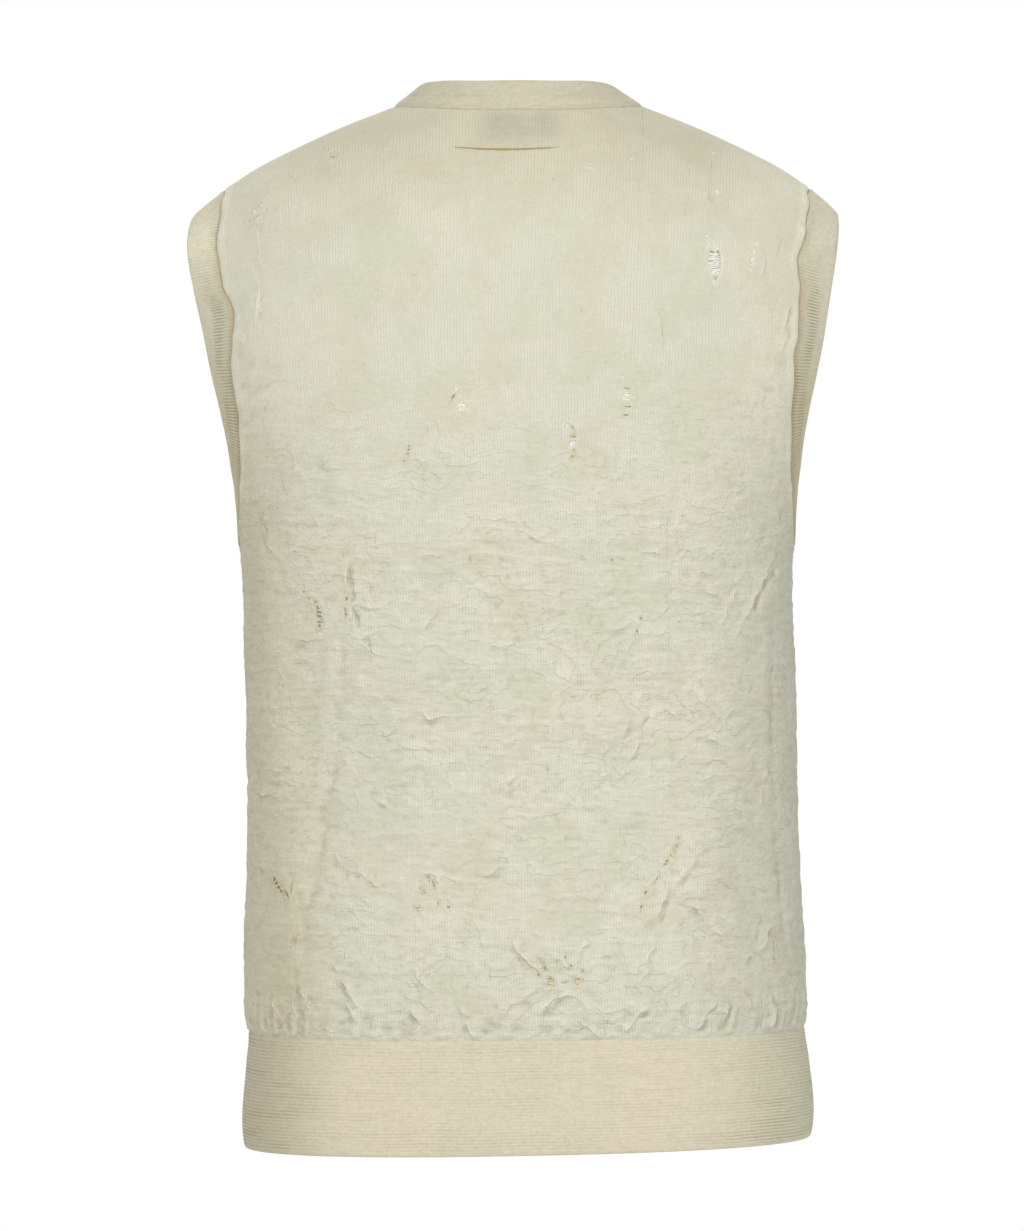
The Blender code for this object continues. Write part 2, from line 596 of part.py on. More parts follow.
def neck_half(seam, normals, hand):
    """The rows of one half of the neckband past its seam, from centre back to the mitre at centre front."""
    steps = COLUMNS_TO_NECK * 2
    along = np.concatenate([[0], np.cumsum(np.linalg.norm(np.diff(seam, axis=0), axis=1))])
    shares = along / along[-1]
    fine = np.linspace(0, 1, 40 * steps + 1)
    line, facing = spread(seam, normals, fine)
    tangent, facing = (smoothed(a) for a in (np.gradient(line, axis=0), facing))
    away = unit(np.cross(tangent, unit(facing))) * hand
    past = fine * along[-1] / along[COLUMNS_TO_NECK]
    stand = through(NECK_BAND_STAND, "upward", past, "past")
    lean = unit(away + 0.12 * facing + stand[:, None] * np.array([0.0, 0.0, 1.0]))
    out = unit(np.cross(lean, tangent)) * hand
    rows = []
    for width in (0.35, 0.7, 1.0):
        row = line + away * CURVED_GAP + lean * NECK_BAND_WIDTH * width
        crossed = np.flatnonzero((row[:, 0] * hand <= 0) & (past > 1))
        last = fine[crossed[0]] if len(crossed) else 1.0
        at = shares * (1 - (1 - last) * shares**3)
        both = (np.stack([np.interp(at, fine, a[:, k]) for k in range(3)], axis=1) for a in (row, out))
        inner, face = both
        inner[[0, -1], 0] = 0
        face[[0, -1], 0] = 0
        rows.append((inner, inner + unit(face) * BAND_WALL))
    return rows


def neck_band(back, front):
    """The rib band round the neck, from the panels' edges: it stands up at the back, and is mitred at the V."""
    middle = COLUMNS_TO_NECK + COLUMNS_TO_EDGE
    halves = []
    for hand in (1, -1):
        at_back = [middle - hand * k for k in range(COLUMNS_TO_NECK + 1)]
        at_front = at_back[::-1]
        inner = joined_open(straightened(back[0][-1, at_back]), straightened(front[0][-1, at_front]))
        outer = joined_open(back[1][-1, at_back], front[1][-1, at_front])
        shift = np.array([1.0, 0, 0]) * SECTIONS[-1].shift
        normals = unit(outer - inner)
        tangent = unit(np.gradient(inner, axis=0))
        away = unit(np.cross(tangent, normals)) * hand
        away[-1] = unit(away[-1] * np.array([0.0, 1, 1])) * 1.6
        foot = (inner + away * CURVED_GAP, outer + away * CURVED_GAP + normals * (BAND_WALL - PANEL_WALL))
        rows = [foot] + [(a + shift, b + shift) for a, b in neck_half(inner - shift, normals, hand)]
        halves.append(rows)
    faces_of_band = []
    for face in (1, 0):
        rows = [np.concatenate([left[face], right[face][-2:0:-1]]) for left, right in zip(*halves)]
        faces_of_band.append(np.stack(rows))
    points, faces = ring_wall(*faces_of_band)
    return add_object("neck_band", points, faces, BAND_COLOUR)


def joined_open(first, second):
    """Two edges that meet at one end, as one line."""
    line = np.concatenate([first, second[1:]])
    line[len(first) - 1] = (first[-1] + second[0]) / 2
    return line


def hem_band():
    """The straight rib band round the hem."""
    shares = np.linspace(0, 2, HEM_STEPS + 1)[:-1]
    angle = np.where(shares < 1, angle_at(shares), -angle_at(2 - shares))
    heights = (HEM_SEAM - SEAM_GAP, -0.574, -0.600, -0.626, HEM_EDGE)
    inner, outer = [], []
    for height in heights:
        level = np.full(len(angle), height)
        place = body_point(angle, level)
        normal = body_normal(angle, level)
        normal[:, 2] = 0
        inner.append(place)
        outer.append(place + unit(normal) * BAND_WALL)
    points, faces = ring_wall(np.stack(outer), np.stack(inner))
    return add_object("hem_band", points, faces, BAND_COLOUR)


# ---------------------------------------------------------------- the tuck below the neck


def neck_tuck():
    """A pinch of cloth sewn across the back: a slim lens in section, fading to a point at each end."""
    rings = []
    for k in range(TUCK_STEPS + 1):
        share = k / TUCK_STEPS
        swell = math.sin(math.pi * (0.06 + 0.88 * share)) ** 0.5
        x = TUCK_ENDS[0] + (TUCK_ENDS[1] - TUCK_ENDS[0]) * share
        z = TUCK_HEIGHT - TUCK_SAG * math.sin(math.pi * share)
        middle, normal = back_surface(x, z)
        up = unit(np.cross(normal, unit(np.cross([0, 0, 1], normal))))
        foot = middle + normal * (PANEL_WALL + SEAM_GAP)
        tall, deep = TUCK_TALL * swell, TUCK_DEEP * swell
        rings.append([
            foot + up * tall / 2,
            foot + up * tall * 0.1 + normal * deep * 0.8,
            foot - up * tall * 0.35 + normal * deep,
            foot - up * tall / 2 + normal * deep * 0.6,
            foot - up * tall * 0.4,
        ])
    sides = len(rings[0])
    points = [p.tolist() for ring in rings for p in ring]
    faces = [tuple(range(sides)), tuple(range(TUCK_STEPS * sides, (TUCK_STEPS + 1) * sides))]
    for k in range(TUCK_STEPS):
        for j in range(sides):
            a, b = k * sides + j, k * sides + (j + 1) % sides
            faces.append((a, b, b + sides, a + sides))
    return add_object("back_neck_tuck", points, faces, KNIT_COLOUR)


# ---------------------------------------------------------------- the garment

for old in list(bpy.data.objects):
    bpy.data.objects.remove(old)

back_panel, *back_faces = panel("back_panel", 1, BACK_FOLDS, BACK_CREASES)
cut_rips(back_panel)
front_panel, *front_faces = panel("front_panel", -1, FRONT_FOLDS, moved(BACK_CREASES))
hem_band()
arm_band("armhole_band_left", 1, back_faces, front_faces)
arm_band("armhole_band_right", -1, back_faces, front_faces)
neck_band(back_faces, front_faces)
neck_tuck()
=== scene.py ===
"""Looks of a sleeveless knitted vest: a shrunken, torn, pale wool body with fine ribbed bands.

Metres, +Z up, in the solids' own frame: the front faces -Y and the wearer's left is +X.
"""

import math
from collections import namedtuple

import bpy
import mathutils
import numpy as np
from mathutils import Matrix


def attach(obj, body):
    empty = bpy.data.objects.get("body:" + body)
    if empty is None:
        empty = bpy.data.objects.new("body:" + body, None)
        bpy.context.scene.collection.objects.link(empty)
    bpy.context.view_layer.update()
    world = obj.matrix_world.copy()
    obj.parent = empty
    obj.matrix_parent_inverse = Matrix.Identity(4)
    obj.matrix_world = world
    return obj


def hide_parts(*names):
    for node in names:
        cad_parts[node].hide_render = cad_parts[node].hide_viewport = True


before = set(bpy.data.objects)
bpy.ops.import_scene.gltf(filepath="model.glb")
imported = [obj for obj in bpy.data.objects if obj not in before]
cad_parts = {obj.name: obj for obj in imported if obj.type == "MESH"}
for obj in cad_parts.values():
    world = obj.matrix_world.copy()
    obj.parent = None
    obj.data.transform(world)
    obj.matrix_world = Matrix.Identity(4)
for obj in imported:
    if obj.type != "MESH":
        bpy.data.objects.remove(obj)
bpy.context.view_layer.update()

# ---------------------------------------------------------------- back panel
# The back is one piece of fine plain knit in ecru wool, cut to the shoulders, armholes and back neck.
# It has shrunk in the wash: narrow raised creases, crumpled patches, worn runs and small rips.
# It is sewn to the front at the sides and shoulders, and eased onto the hem band in small folds.

HEM_EDGE = -0.6340  # heights, and levels up the cloth
HEM_SEAM = -0.5650
UNDERARM = -0.2720
SEAM_GAP = 0.0003  # between pieces at a straight seam
CURVED_GAP = 0.0006  # between a band and a curved edge
PANEL_WALL = 0.0018  # thickness of the body's cloth
BAND_WALL = 0.0026  # thickness of a doubled band
SQUARENESS = 2.4  # exponent of the body's rounded sections
HALF_ROUND = 460  # mm of cloth from one side seam to the other, across the back


def table(columns, rows):
    """Rows of numbers whose columns have names."""
    row_of = namedtuple("Row", columns)
    return [row_of(*row) for row in rows]


# The body's sections: how deep they are behind and in front, and how far they shift and drop to the left.
SECTIONS = table("height half_width back front shift drop", (
    (-0.6340, 0.1710, 0.1100, 0.1040, -0.0054, 0.020),
    (-0.6260, 0.1721, 0.1112, 0.1050, -0.0055, 0.019),
    (-0.5850, 0.1698, 0.1100, 0.1045, -0.0053, 0.012),
    (-0.5650, 0.1680, 0.1085, 0.1032, -0.0045, 0.009),
    (-0.5560, 0.1696, 0.1108, 0.1054, -0.0040, 0.008),
    (-0.5400, 0.1702, 0.1120, 0.1064, -0.0036, 0.007),
    (-0.4750, 0.1680, 0.1078, 0.1052, -0.0028, 0.004),
    (-0.4150, 0.1667, 0.1050, 0.1060, -0.0021, 0.002),
    (-0.3500, 0.1669, 0.1072, 0.1092, -0.0009, 0.000),
    (-0.2720, 0.1676, 0.1124, 0.1130, 0.0014, 0.000),
    (-0.2220, 0.1770, 0.1140, 0.1140, 0.0022, 0.000),
    (-0.1720, 0.1860, 0.1140, 0.1125, 0.0030, 0.000),
    (-0.1100, 0.1908, 0.1110, 0.1070, 0.0030, 0.000),
    (-0.0500, 0.1955, 0.1060, 0.0980, 0.0012, 0.000),
    (0.0000, 0.1965, 0.1030, 0.0920, 0.0002, 0.000),
    (0.0700, 0.1965, 0.1030, 0.0900, 0.0002, 0.000),
))

# The top of the shoulders, from the centre line out to the arm.
RIDGE = table("across height", (
    (-0.040, 0.0115),  # beyond the centre, so that the curve is level there
    (0.000, 0.0180),
    (0.040, 0.0115),
    (0.077, -0.0022),
    (0.110, -0.0152),
    (0.137, -0.0276),
    (0.162, -0.0406),
    (0.181, -0.0540),
    (0.200, -0.0700),
))
RIDGE_DEPTH = -0.004  # y of the shoulder seam
ARCH_RISE = 0.110  # height in which a wall bends over to the ridge
ARCH_LENGTH = 0.158  # cloth that this bend takes

# How far behind and in front of the side seam the armhole's edges run.
ARMHOLE = table("height back front", (
    (-0.272, 0.055, 0.064),
    (-0.172, 0.055, 0.068),
    (-0.110, 0.055, 0.065),
    (-0.050, 0.055, 0.057),
    (0.000, 0.055, 0.048),
))
ARMHOLE_BOWL = 0.100  # height of the armhole's rounded lower part
SHOULDER_POINT = 0.1775  # x where the armhole meets the shoulder seam
NECK_HALF = 0.077  # x where the neck does
NECK_BACK = 0.066  # y of the back neck on the centre line
V_POINT = -0.2500
V_CURVE = 1.12  # over 1, the sides of the V bow outwards


def through(rows, column, at, key="height"):
    """A smooth curve through one column of a table: cubic pieces, with slopes from their neighbours."""
    knots = np.array([getattr(row, key) for row in rows])
    values = np.array([getattr(row, column) for row in rows])
    slopes = np.gradient(values, knots)
    at = np.clip(np.asarray(at, float), knots[0], knots[-1])
    i = np.clip(np.searchsorted(knots, at) - 1, 0, len(knots) - 2)
    span = knots[i + 1] - knots[i]
    t = (at - knots[i]) / span
    return (
        values[i] * (1 + 2 * t) * (1 - t) ** 2
        + slopes[i] * span * t * (1 - t) ** 2
        + values[i + 1] * t * t * (3 - 2 * t)
        + slopes[i + 1] * span * t * t * (t - 1)
    )


def unit(vectors):
    """Vectors of length 1 in the same directions."""
    return vectors / np.maximum(np.linalg.norm(vectors, axis=-1, keepdims=True), 1e-12)


def lengths_along(points):
    """How far along a line each of its points lies."""
    return np.concatenate([[0], np.cumsum(np.linalg.norm(np.diff(points[:, :3], axis=0), axis=1))])


def sampled(points, along, at):
    """A line's points at other lengths along it, and whatever else its columns hold."""
    return np.stack([np.interp(at, along, column) for column in points.T], axis=1)


def smoothstep(t):
    """0 up to 0 and 1 from 1 on, and 3t^2 - 2t^3 between them."""
    t = np.clip(t, 0, 1)
    return t * t * (3 - 2 * t)


def body_point(angle, level):
    """The body at an angle (0 at the left side seam, a quarter turn at centre back) and a level.

    Each section is a superellipse: half width times cos^(2/n), depth times sin^(2/n). Below the arch a level
    is a height. Above it, it counts cloth running up and over the shoulder ridge, on a quarter of an ellipse.
    """
    power = 2 / SQUARENESS
    cosine, sine = np.cos(angle), np.sin(angle)
    across = through(SECTIONS, "half_width", level) * np.sign(cosine) * np.abs(cosine) ** power
    back = through(SECTIONS, "back", level)
    front = through(SECTIONS, "front", level)
    depth = np.where(sine > 0, back, -front) * np.abs(sine) ** power
    start = through(RIDGE, "height", np.abs(across), "across") - ARCH_RISE
    over = np.maximum(level - start, 0) / ARCH_LENGTH * math.pi / 2
    y = RIDGE_DEPTH * (1 - np.cos(over)) + depth * np.cos(over)
    z = np.where(level > start, start + ARCH_RISE * np.sin(over), level)
    x = across + through(SECTIONS, "shift", level)
    return np.stack([x, y, z - x * through(SECTIONS, "drop", level)], axis=-1)


def body_normal(angle, level):
    """The body's outward direction: the cross product of its slopes round and up."""
    turn, rise = 0.02, 0.002
    round_it = body_point(angle + turn, level) - body_point(angle - turn, level)
    up = body_point(angle, level + rise) - body_point(angle, level - rise)
    return unit(np.cross(round_it, up))


RING_LEVEL = -0.30  # where cloth is measured round the body
RING_ANGLES = np.linspace(0, math.pi, 721)
RING = body_point(RING_ANGLES, np.full_like(RING_ANGLES, RING_LEVEL))
RING_SHARES = lengths_along(RING) / lengths_along(RING)[-1]


def angle_at(share):
    """The angle at a share of the way round the back, measured along the cloth."""
    return np.interp(share, RING_SHARES, RING_ANGLES)


def share_at(angle):
    """The share of the way round the back at an angle."""
    return np.interp(angle, RING_ANGLES, RING_SHARES)


def edge_angle(level, side):
    """The angle of a panel's edge: the side seam below the armhole, and the armhole's edge above."""
    deep = through(ARMHOLE, "back" if side > 0 else "front", level)
    depth = through(SECTIONS, "back" if side > 0 else "front", level)
    bowl = np.clip((UNDERARM + ARMHOLE_BOWL - level) / ARMHOLE_BOWL, 0, 1)
    y = np.maximum(deep * np.sqrt(1 - bowl**2), SEAM_GAP / 2)
    return np.arcsin(np.clip(y / depth, 0, 1) ** (SQUARENESS / 2))


def ridge_level(across):
    """The level of the shoulder ridge, which is the whole bend's cloth above the bend's start."""
    return through(RIDGE, "height", across, "across") - ARCH_RISE + ARCH_LENGTH


SHOULDER_LEVEL = float(ridge_level(SHOULDER_POINT))
TOP_ANGLE = float(np.arccos((SHOULDER_POINT / SECTIONS[-1].half_width) ** (SQUARENESS / 2)))


def top_across(u):
    """Distance from the centre line, at the top of the column that lies u of the way to the armhole."""
    share = 0.5 - np.abs(u) * (0.5 - share_at(TOP_ANGLE))
    return SECTIONS[-1].half_width * np.maximum(np.cos(angle_at(share)), 0) ** (2 / SQUARENESS)


COLUMN = np.linspace(0, 1, 2001)
NECK_COLUMN = float(np.interp(NECK_HALF, top_across(COLUMN), COLUMN))


def top_level(u, side):
    """Where each column of a panel ends: on the shoulder ridge, the oval back neck, or the V of the front."""
    across = top_across(u)
    inside = np.clip(np.abs(u) / NECK_COLUMN, 0, 1)
    if side > 0:
        depth = SECTIONS[-1].back * (1 - (across / SECTIONS[-1].half_width) ** SQUARENESS) ** (1 / SQUARENESS)
        oval = RIDGE_DEPTH + (NECK_BACK - RIDGE_DEPTH) * np.sqrt(1 - np.clip(across / NECK_HALF, 0, 1) ** 2)
        turn = np.arccos(np.clip((oval - RIDGE_DEPTH) / (depth - RIDGE_DEPTH), 0, 1))
        start = through(RIDGE, "height", across, "across") - ARCH_RISE
        neck = start + ARCH_LENGTH * turn / (math.pi / 2)
    else:
        neck = V_POINT + (ridge_level(NECK_HALF) - V_POINT) * inside**V_CURVE
    return np.where(inside < 1, neck, ridge_level(across))


CRINKLE_CELLS = 257  # the seeded values repeat after so many


def crinkle(across, up, wide, tall, seed):
    """Soft unevenness from -1 to 1: seeded values at the corners of cells, blended by smoothstep."""
    values = np.random.default_rng(seed).uniform(-1, 1, (CRINKLE_CELLS, CRINKLE_CELLS))
    i, j = np.floor(across / wide).astype(int), np.floor(up / tall).astype(int)
    a, b = smoothstep(across / wide - i), smoothstep(up / tall - j)
    i, j = i % CRINKLE_CELLS, j % CRINKLE_CELLS
    k, m = (i + 1) % CRINKLE_CELLS, (j + 1) % CRINKLE_CELLS
    below, above = (values[i, row] * (1 - a) + values[k, row] * a for row in (j, m))
    return below * (1 - b) + above * b


# Cells of the outer face: from centre line to neck corner to armhole, and up the side, the bowl and the top.
NECK_CELLS, EDGE_CELLS = 60, 84
BODY_ROWS, BOWL_ROWS, TOP_ROWS = 196, 44, 48
INSIDE_STEP = 4  # the plain inside has one cell where the outside has four

# How far in from its true line the back's edge has drawn at each armhole, in mm.
DRAWN_IN = table("height left right", (
    (-0.2720, 0.0, 0.0),
    (-0.2500, 3.5, 3.0),
    (-0.2250, 7.0, 6.5),
    (-0.1920, 9.0, 8.0),
    (-0.1700, 9.0, 10.0),
    (-0.1570, 8.0, 11.0),
    (-0.1430, 12.0, 8.5),
    (-0.1300, 11.5, 7.0),
    (-0.1170, 3.0, 6.5),
    (-0.0980, -1.5, 10.0),
    (-0.0740, -2.0, 5.0),
    (-0.0550, 0.0, 4.5),
    (-0.0300, 1.0, 4.0),
    (-0.0050, 0.0, 1.5),
    (0.0100, 0.0, 0.0),
))


def drawn_in(level, hand):
    """Share of the way round by which the back's edge has drawn in: its table, and fading small waves."""
    waves = 0.9 * crinkle(hand * np.ones_like(level), level * 1000, 400, 9, 46)
    waves = waves * smoothstep((level - UNDERARM) / 0.03) * smoothstep((SHOULDER_LEVEL - level) / 0.02)
    return (through(DRAWN_IN, "left" if hand > 0 else "right", level) + waves) / HALF_ROUND


def panel_edge_levels():
    """Levels of a panel's rows at its edge: even ones, but by a cosine in the armhole's bowl."""
    body = np.linspace(HEM_SEAM, UNDERARM, BODY_ROWS + 1)
    bowl = UNDERARM + ARMHOLE_BOWL * (1 - np.cos(np.linspace(0, math.pi / 2, BOWL_ROWS + 1)))
    top = np.linspace(UNDERARM + ARMHOLE_BOWL, SHOULDER_LEVEL, TOP_ROWS + 1)
    return np.concatenate([body, bowl[1:], top[1:]])


def panel_places(side):
    """Angle, level, share of the way round, u and rise of each point of a panel's grid, rows from the hem up.

    u is 1 at the left edge and -1 at the right one, and rise is 0 at the hem seam and 1 at the top. A level
    is the hem seam's plus rise times the column's height. A share is 1/2 less u times the row's half width.
    Rows crowd round the armhole's lowest point at the edges alone. Further in, they are spaced evenly there.
    """
    half = np.linspace(0, NECK_COLUMN, NECK_CELLS + 1)
    half = np.concatenate([half, np.linspace(NECK_COLUMN, 1, EDGE_CELLS + 1)[1:]])
    u = np.concatenate([half[::-1], -half[1:]])
    edge = panel_edge_levels()
    even = edge.copy()
    bowl = slice(BODY_ROWS, BODY_ROWS + BOWL_ROWS + 1)
    even[bowl] = np.linspace(UNDERARM, UNDERARM + ARMHOLE_BOWL, BOWL_ROWS + 1)
    crowded = np.abs(u)[None, :] ** 4
    rise = even[:, None] * (1 - crowded) + edge[:, None] * crowded
    rise = (rise - HEM_SEAM) / (SHOULDER_LEVEL - HEM_SEAM)
    level = HEM_SEAM + (top_level(u, side)[None, :] - HEM_SEAM) * rise
    inset = share_at(edge_angle(edge, side))
    inset[-1] = share_at(TOP_ANGLE)
    left, right = (inset + drawn_in(edge, hand) * (side > 0) for hand in (1, -1))
    share = 0.5 - u[None, :] * (0.5 - np.where(u[None, :] > 0, left[:, None], right[:, None]))
    return angle_at(share) * side, level, share, u, rise


# Soft folds that move the whole wall: x and z of the middle, length, degrees from upright, width and height.
BACK_FOLDS = table("x z length tilt width height", (
    (0.118, -0.420, 0.240, 6, 0.016, -0.0026),
    (0.140, -0.430, 0.260, 3, 0.015, 0.0022),
    (-0.146, -0.450, 0.220, -3, 0.017, -0.0022),
    (-0.118, -0.400, 0.160, -10, 0.018, 0.0016),
    (0.060, -0.380, 0.150, 8, 0.022, 0.0012),
    (-0.040, -0.470, 0.160, -12, 0.024, 0.0012),
    (0.152, -0.300, 0.080, 8, 0.013, 0.0022),
    (-0.148, -0.300, 0.090, -14, 0.013, 0.0024),
))

# Narrow creases. Each row is a height and a width in mm, then its path: mm along the cloth to
# the left of the centre back, and level in mm. A negative height is a trough.
CREASE_ROWS = (
    # long soft ones down both sides
    (-1.4, 6.5, (101, -290), (108, -334), (113, -375), (120, -423), (130, -470), (138, -518), (141, -560)),
    (0.4, 6.0, (112, -296), (117, -340), (122, -380), (130, -425), (140, -475), (148, -520), (151, -556)),
    (-0.9, 4.0, (-168, -296), (-169, -350), (-168, -400), (-170, -450), (-171, -490), (-175, -545)),
    (0.5, 5.0, (-158, -300), (-160, -350), (-159, -400), (-160, -450), (-162, -500)),
    # right side
    (0.9, 3.0, (-189, -260), (-171, -279), (-151, -303), (-137, -324), (-111, -342)),
    (-0.5, 2.6, (-178, -279), (-163, -294), (-149, -315)),
    (1.0, 2.4, (-147, -279), (-135, -303), (-115, -339)),
    (1.2, 2.6, (-59, -388), (-75, -357), (-84, -363)),
    (1.3, 2.6, (-75, -358), (-92, -370), (-119, -387), (-137, -397), (-158, -381)),
    (-1.0, 2.4, (-81, -357), (-75, -375), (-68, -403)),
    (1.0, 2.4, (-99, -351), (-111, -363), (-122, -376), (-141, -366)),
    (0.9, 2.2, (-54, -412), (-78, -382)),
    (1.0, 2.2, (-54, -354), (-62, -336), (-74, -321)),
    (-0.9, 2.2, (-48, -351), (-64, -333)),
    (0.8, 2.2, (-42, -334), (-50, -322), (-78, -316)),
    (0.9, 2.2, (-84, -284), (-107, -292)),
    (0.8, 2.0, (-74, -272), (-89, -279)),
    (0.7, 2.0, (-113, -294), (-129, -304), (-133, -316)),
    (1.0, 2.6, (-69, -507), (-83, -483), (-98, -463), (-111, -451), (-146, -445)),
    (-0.5, 2.4, (-74, -503), (-87, -485), (-101, -467)),
    (1.3, 2.6, (-93, -479), (-108, -496), (-124, -508)),
    (1.0, 2.4, (-84, -484), (-93, -477), (-108, -492), (-117, -501)),
    (1.0, 2.2, (-68, -533), (-76, -512), (-81, -500)),
    (1.3, 2.6, (-128, -530), (-157, -509), (-171, -486)),
    (-0.9, 2.2, (-145, -467), (-152, -491), (-148, -515)),
    (0.8, 2.0, (-58, -460), (-73, -453)),
    (0.8, 2.2, (-109, -447), (-138, -442), (-144, -427)),
    (0.9, 2.2, (-166, -400), (-153, -418), (-160, -433)),
    (0.8, 2.0, (-103, -417), (-118, -407), (-135, -417)),
    (0.7, 2.0, (-32, -390), (-47, -394), (-62, -390)),
    (0.8, 2.2, (-23, -363), (-42, -357)),
    (0.8, 2.2, (-183, -327), (-170, -345), (-177, -364)),
    (0.9, 2.4, (-179, -230), (-174, -242), (-168, -270)),
    # middle
    (0.9, 2.2, (-7, -264), (-17, -268), (-26, -270)),
    (0.7, 2.0, (3, -238), (-6, -234), (-14, -236)),
    (0.8, 2.2, (15, -424), (8, -415), (1, -405)),
    (0.9, 2.2, (-13, -427), (-20, -438), (-23, -449)),
    (1.1, 2.4, (55, -465), (39, -472), (25, -470), (7, -452)),
    (1.4, 2.4, (12, -496), (7, -509), (-4, -518), (-13, -527)),
    (1.3, 2.4, (22, -557), (3, -542), (-14, -527)),
    (1.4, 2.4, (3, -563), (-15, -542), (-28, -537), (-37, -549)),
    (1.2, 2.4, (-29, -550), (-45, -566)),
    (1.2, 2.2, (-19, -515), (-27, -522), (-40, -506)),
    (1.1, 2.2, (-38, -542), (-48, -549), (-61, -545)),
    (-1.0, 2.2, (-8, -514), (-16, -525), (-25, -532)),
    (0.8, 2.0, (32, -502), (20, -510)),
    (0.8, 2.0, (-43, -485), (-56, -491)),
    (0.6, 2.0, (30, -327), (9, -332), (-12, -328)),
    (0.6, 2.0, (20, -398), (31, -405)),
    (0.6, 2.0, (58, -279), (40, -277)),
    # left side
    (1.2, 2.4, (82, -390), (77, -376), (71, -372), (38, -374)),
    (1.0, 2.4, (71, -336), (58, -327), (47, -303)),
    (1.2, 2.6, (102, -270), (107, -297), (97, -328), (86, -336), (71, -333)),
    (-1.0, 2.4, (99, -277), (103, -306), (93, -324)),
    (1.1, 2.4, (155, -336), (136, -327), (124, -324), (108, -330)),
    (1.0, 2.2, (139, -293), (127, -305), (124, -327)),
    (0.9, 2.2, (121, -256), (109, -253), (99, -256)),
    (1.2, 2.6, (173, -236), (166, -252), (162, -268), (151, -279)),
    (-0.9, 2.2, (167, -242), (161, -257), (156, -272)),
    (0.9, 2.2, (178, -405), (144, -404), (126, -394)),
    (0.8, 2.2, (182, -419), (143, -424)),
    (1.3, 2.4, (194, -462), (164, -469), (149, -479), (142, -486)),
    (1.2, 2.6, (143, -486), (146, -516), (144, -543), (140, -560)),
    (1.0, 2.4, (120, -453), (108, -463), (92, -470), (74, -482)),
    (0.9, 2.2, (108, -485), (96, -497), (84, -499)),
    (0.9, 2.2, (69, -514), (65, -526), (56, -536)),
    (1.0, 2.2, (63, -470), (55, -463), (51, -479)),
    (0.7, 2.0, (92, -422), (76, -429)),
    (0.8, 2.2, (180, -364), (159, -371), (141, -366)),
    (0.8, 2.0, (64, -203), (58, -215), (52, -221)),
    (0.6, 2.0, (49, -225), (41, -237)),
    # small folds above the hem seam
    (1.5, 2.4, (186, -535), (178, -551), (171, -566)),
    (1.4, 2.4, (161, -537), (156, -553), (151, -566)),
    (1.4, 2.4, (138, -532), (132, -547), (127, -564)),
    (1.3, 2.4, (119, -517), (108, -533), (98, -550)),
    (1.2, 2.4, (109, -542), (102, -552), (95, -563)),
    (1.3, 2.4, (86, -525), (74, -534), (62, -542)),
    (1.2, 2.4, (95, -549), (85, -556), (75, -564)),
    (1.3, 2.4, (69, -546), (62, -554), (54, -561)),
    (1.1, 2.2, (55, -534), (50, -545), (43, -553)),
    (1.1, 2.2, (41, -542), (34, -552), (28, -565)),
    (1.4, 2.4, (-57, -564), (-64, -553), (-75, -545)),
    (1.4, 2.4, (-77, -563), (-85, -552), (-101, -543)),
    (1.3, 2.4, (-100, -564), (-107, -552), (-115, -542)),
    (1.3, 2.4, (-117, -564), (-123, -551), (-125, -540)),
    (1.4, 2.4, (-136, -564), (-141, -549), (-136, -536)),
    (1.4, 2.4, (-156, -565), (-159, -549), (-156, -537)),
    (1.3, 2.4, (-181, -565), (-177, -549), (-187, -532)),
    # beside the armholes, on the shoulders and in the middle of the chest
    (0.9, 2.4, (160, -124), (157, -139), (155, -152)),
    (0.8, 2.2, (149, -97), (141, -125), (145, -141)),
    (0.8, 2.2, (160, -79), (140, -67), (124, -60)),
    (0.7, 2.2, (-160, -124), (-156, -141), (-154, -158)),
    (0.7, 2.0, (-155, -50), (-165, -84), (-165, -112)),
    (0.6, 2.0, (-130, -89), (-139, -102), (-136, -116)),
    (0.6, 2.0, (105, -28), (95, -23), (87, -34)),
    (0.6, 2.2, (-72, -124), (-80, -142), (-79, -157)),
    (0.5, 2.2, (71, -118), (76, -136), (69, -151)),
    (0.8, 1.8, (142, -57), (138, -69), (144, -81), (140, -93), (146, -110)),
    (0.7, 1.8, (124, -58), (129, -70), (126, -84)),
    (0.7, 1.8, (-97, -22), (-103, -37), (-99, -62), (-107, -80)),
    (0.6, 1.8, (-118, -40), (-127, -52), (-138, -55)),
    (0.6, 1.8, (110, -90), (104, -110), (108, -130)),
    (0.6, 1.8, (56, -205), (50, -219), (55, -232), (48, -246)),
)
BACK_CREASES = table("height width path", [(height, width, path) for height, width, *path in CREASE_ROWS])


def rounded(path):
    """A path with its corners cut off three times: each piece keeps its points at 1/4 and 3/4."""
    path = np.array(path, float)
    for _ in range(3):
        cut = np.empty((2 * len(path), 2))
        cut[0], cut[-1] = path[0], path[-1]
        cut[1:-1:2] = 0.75 * path[:-1] + 0.25 * path[1:]
        cut[2:-1:2] = 0.25 * path[:-1] + 0.75 * path[1:]
        path = cut
    return path


WIDE_CREASE = 3.5  # mm: from here on a crease is a soft wave, the same on both sides
CREASE_SIDE = 6.0  # mm: distances to a crease are kept up to this one


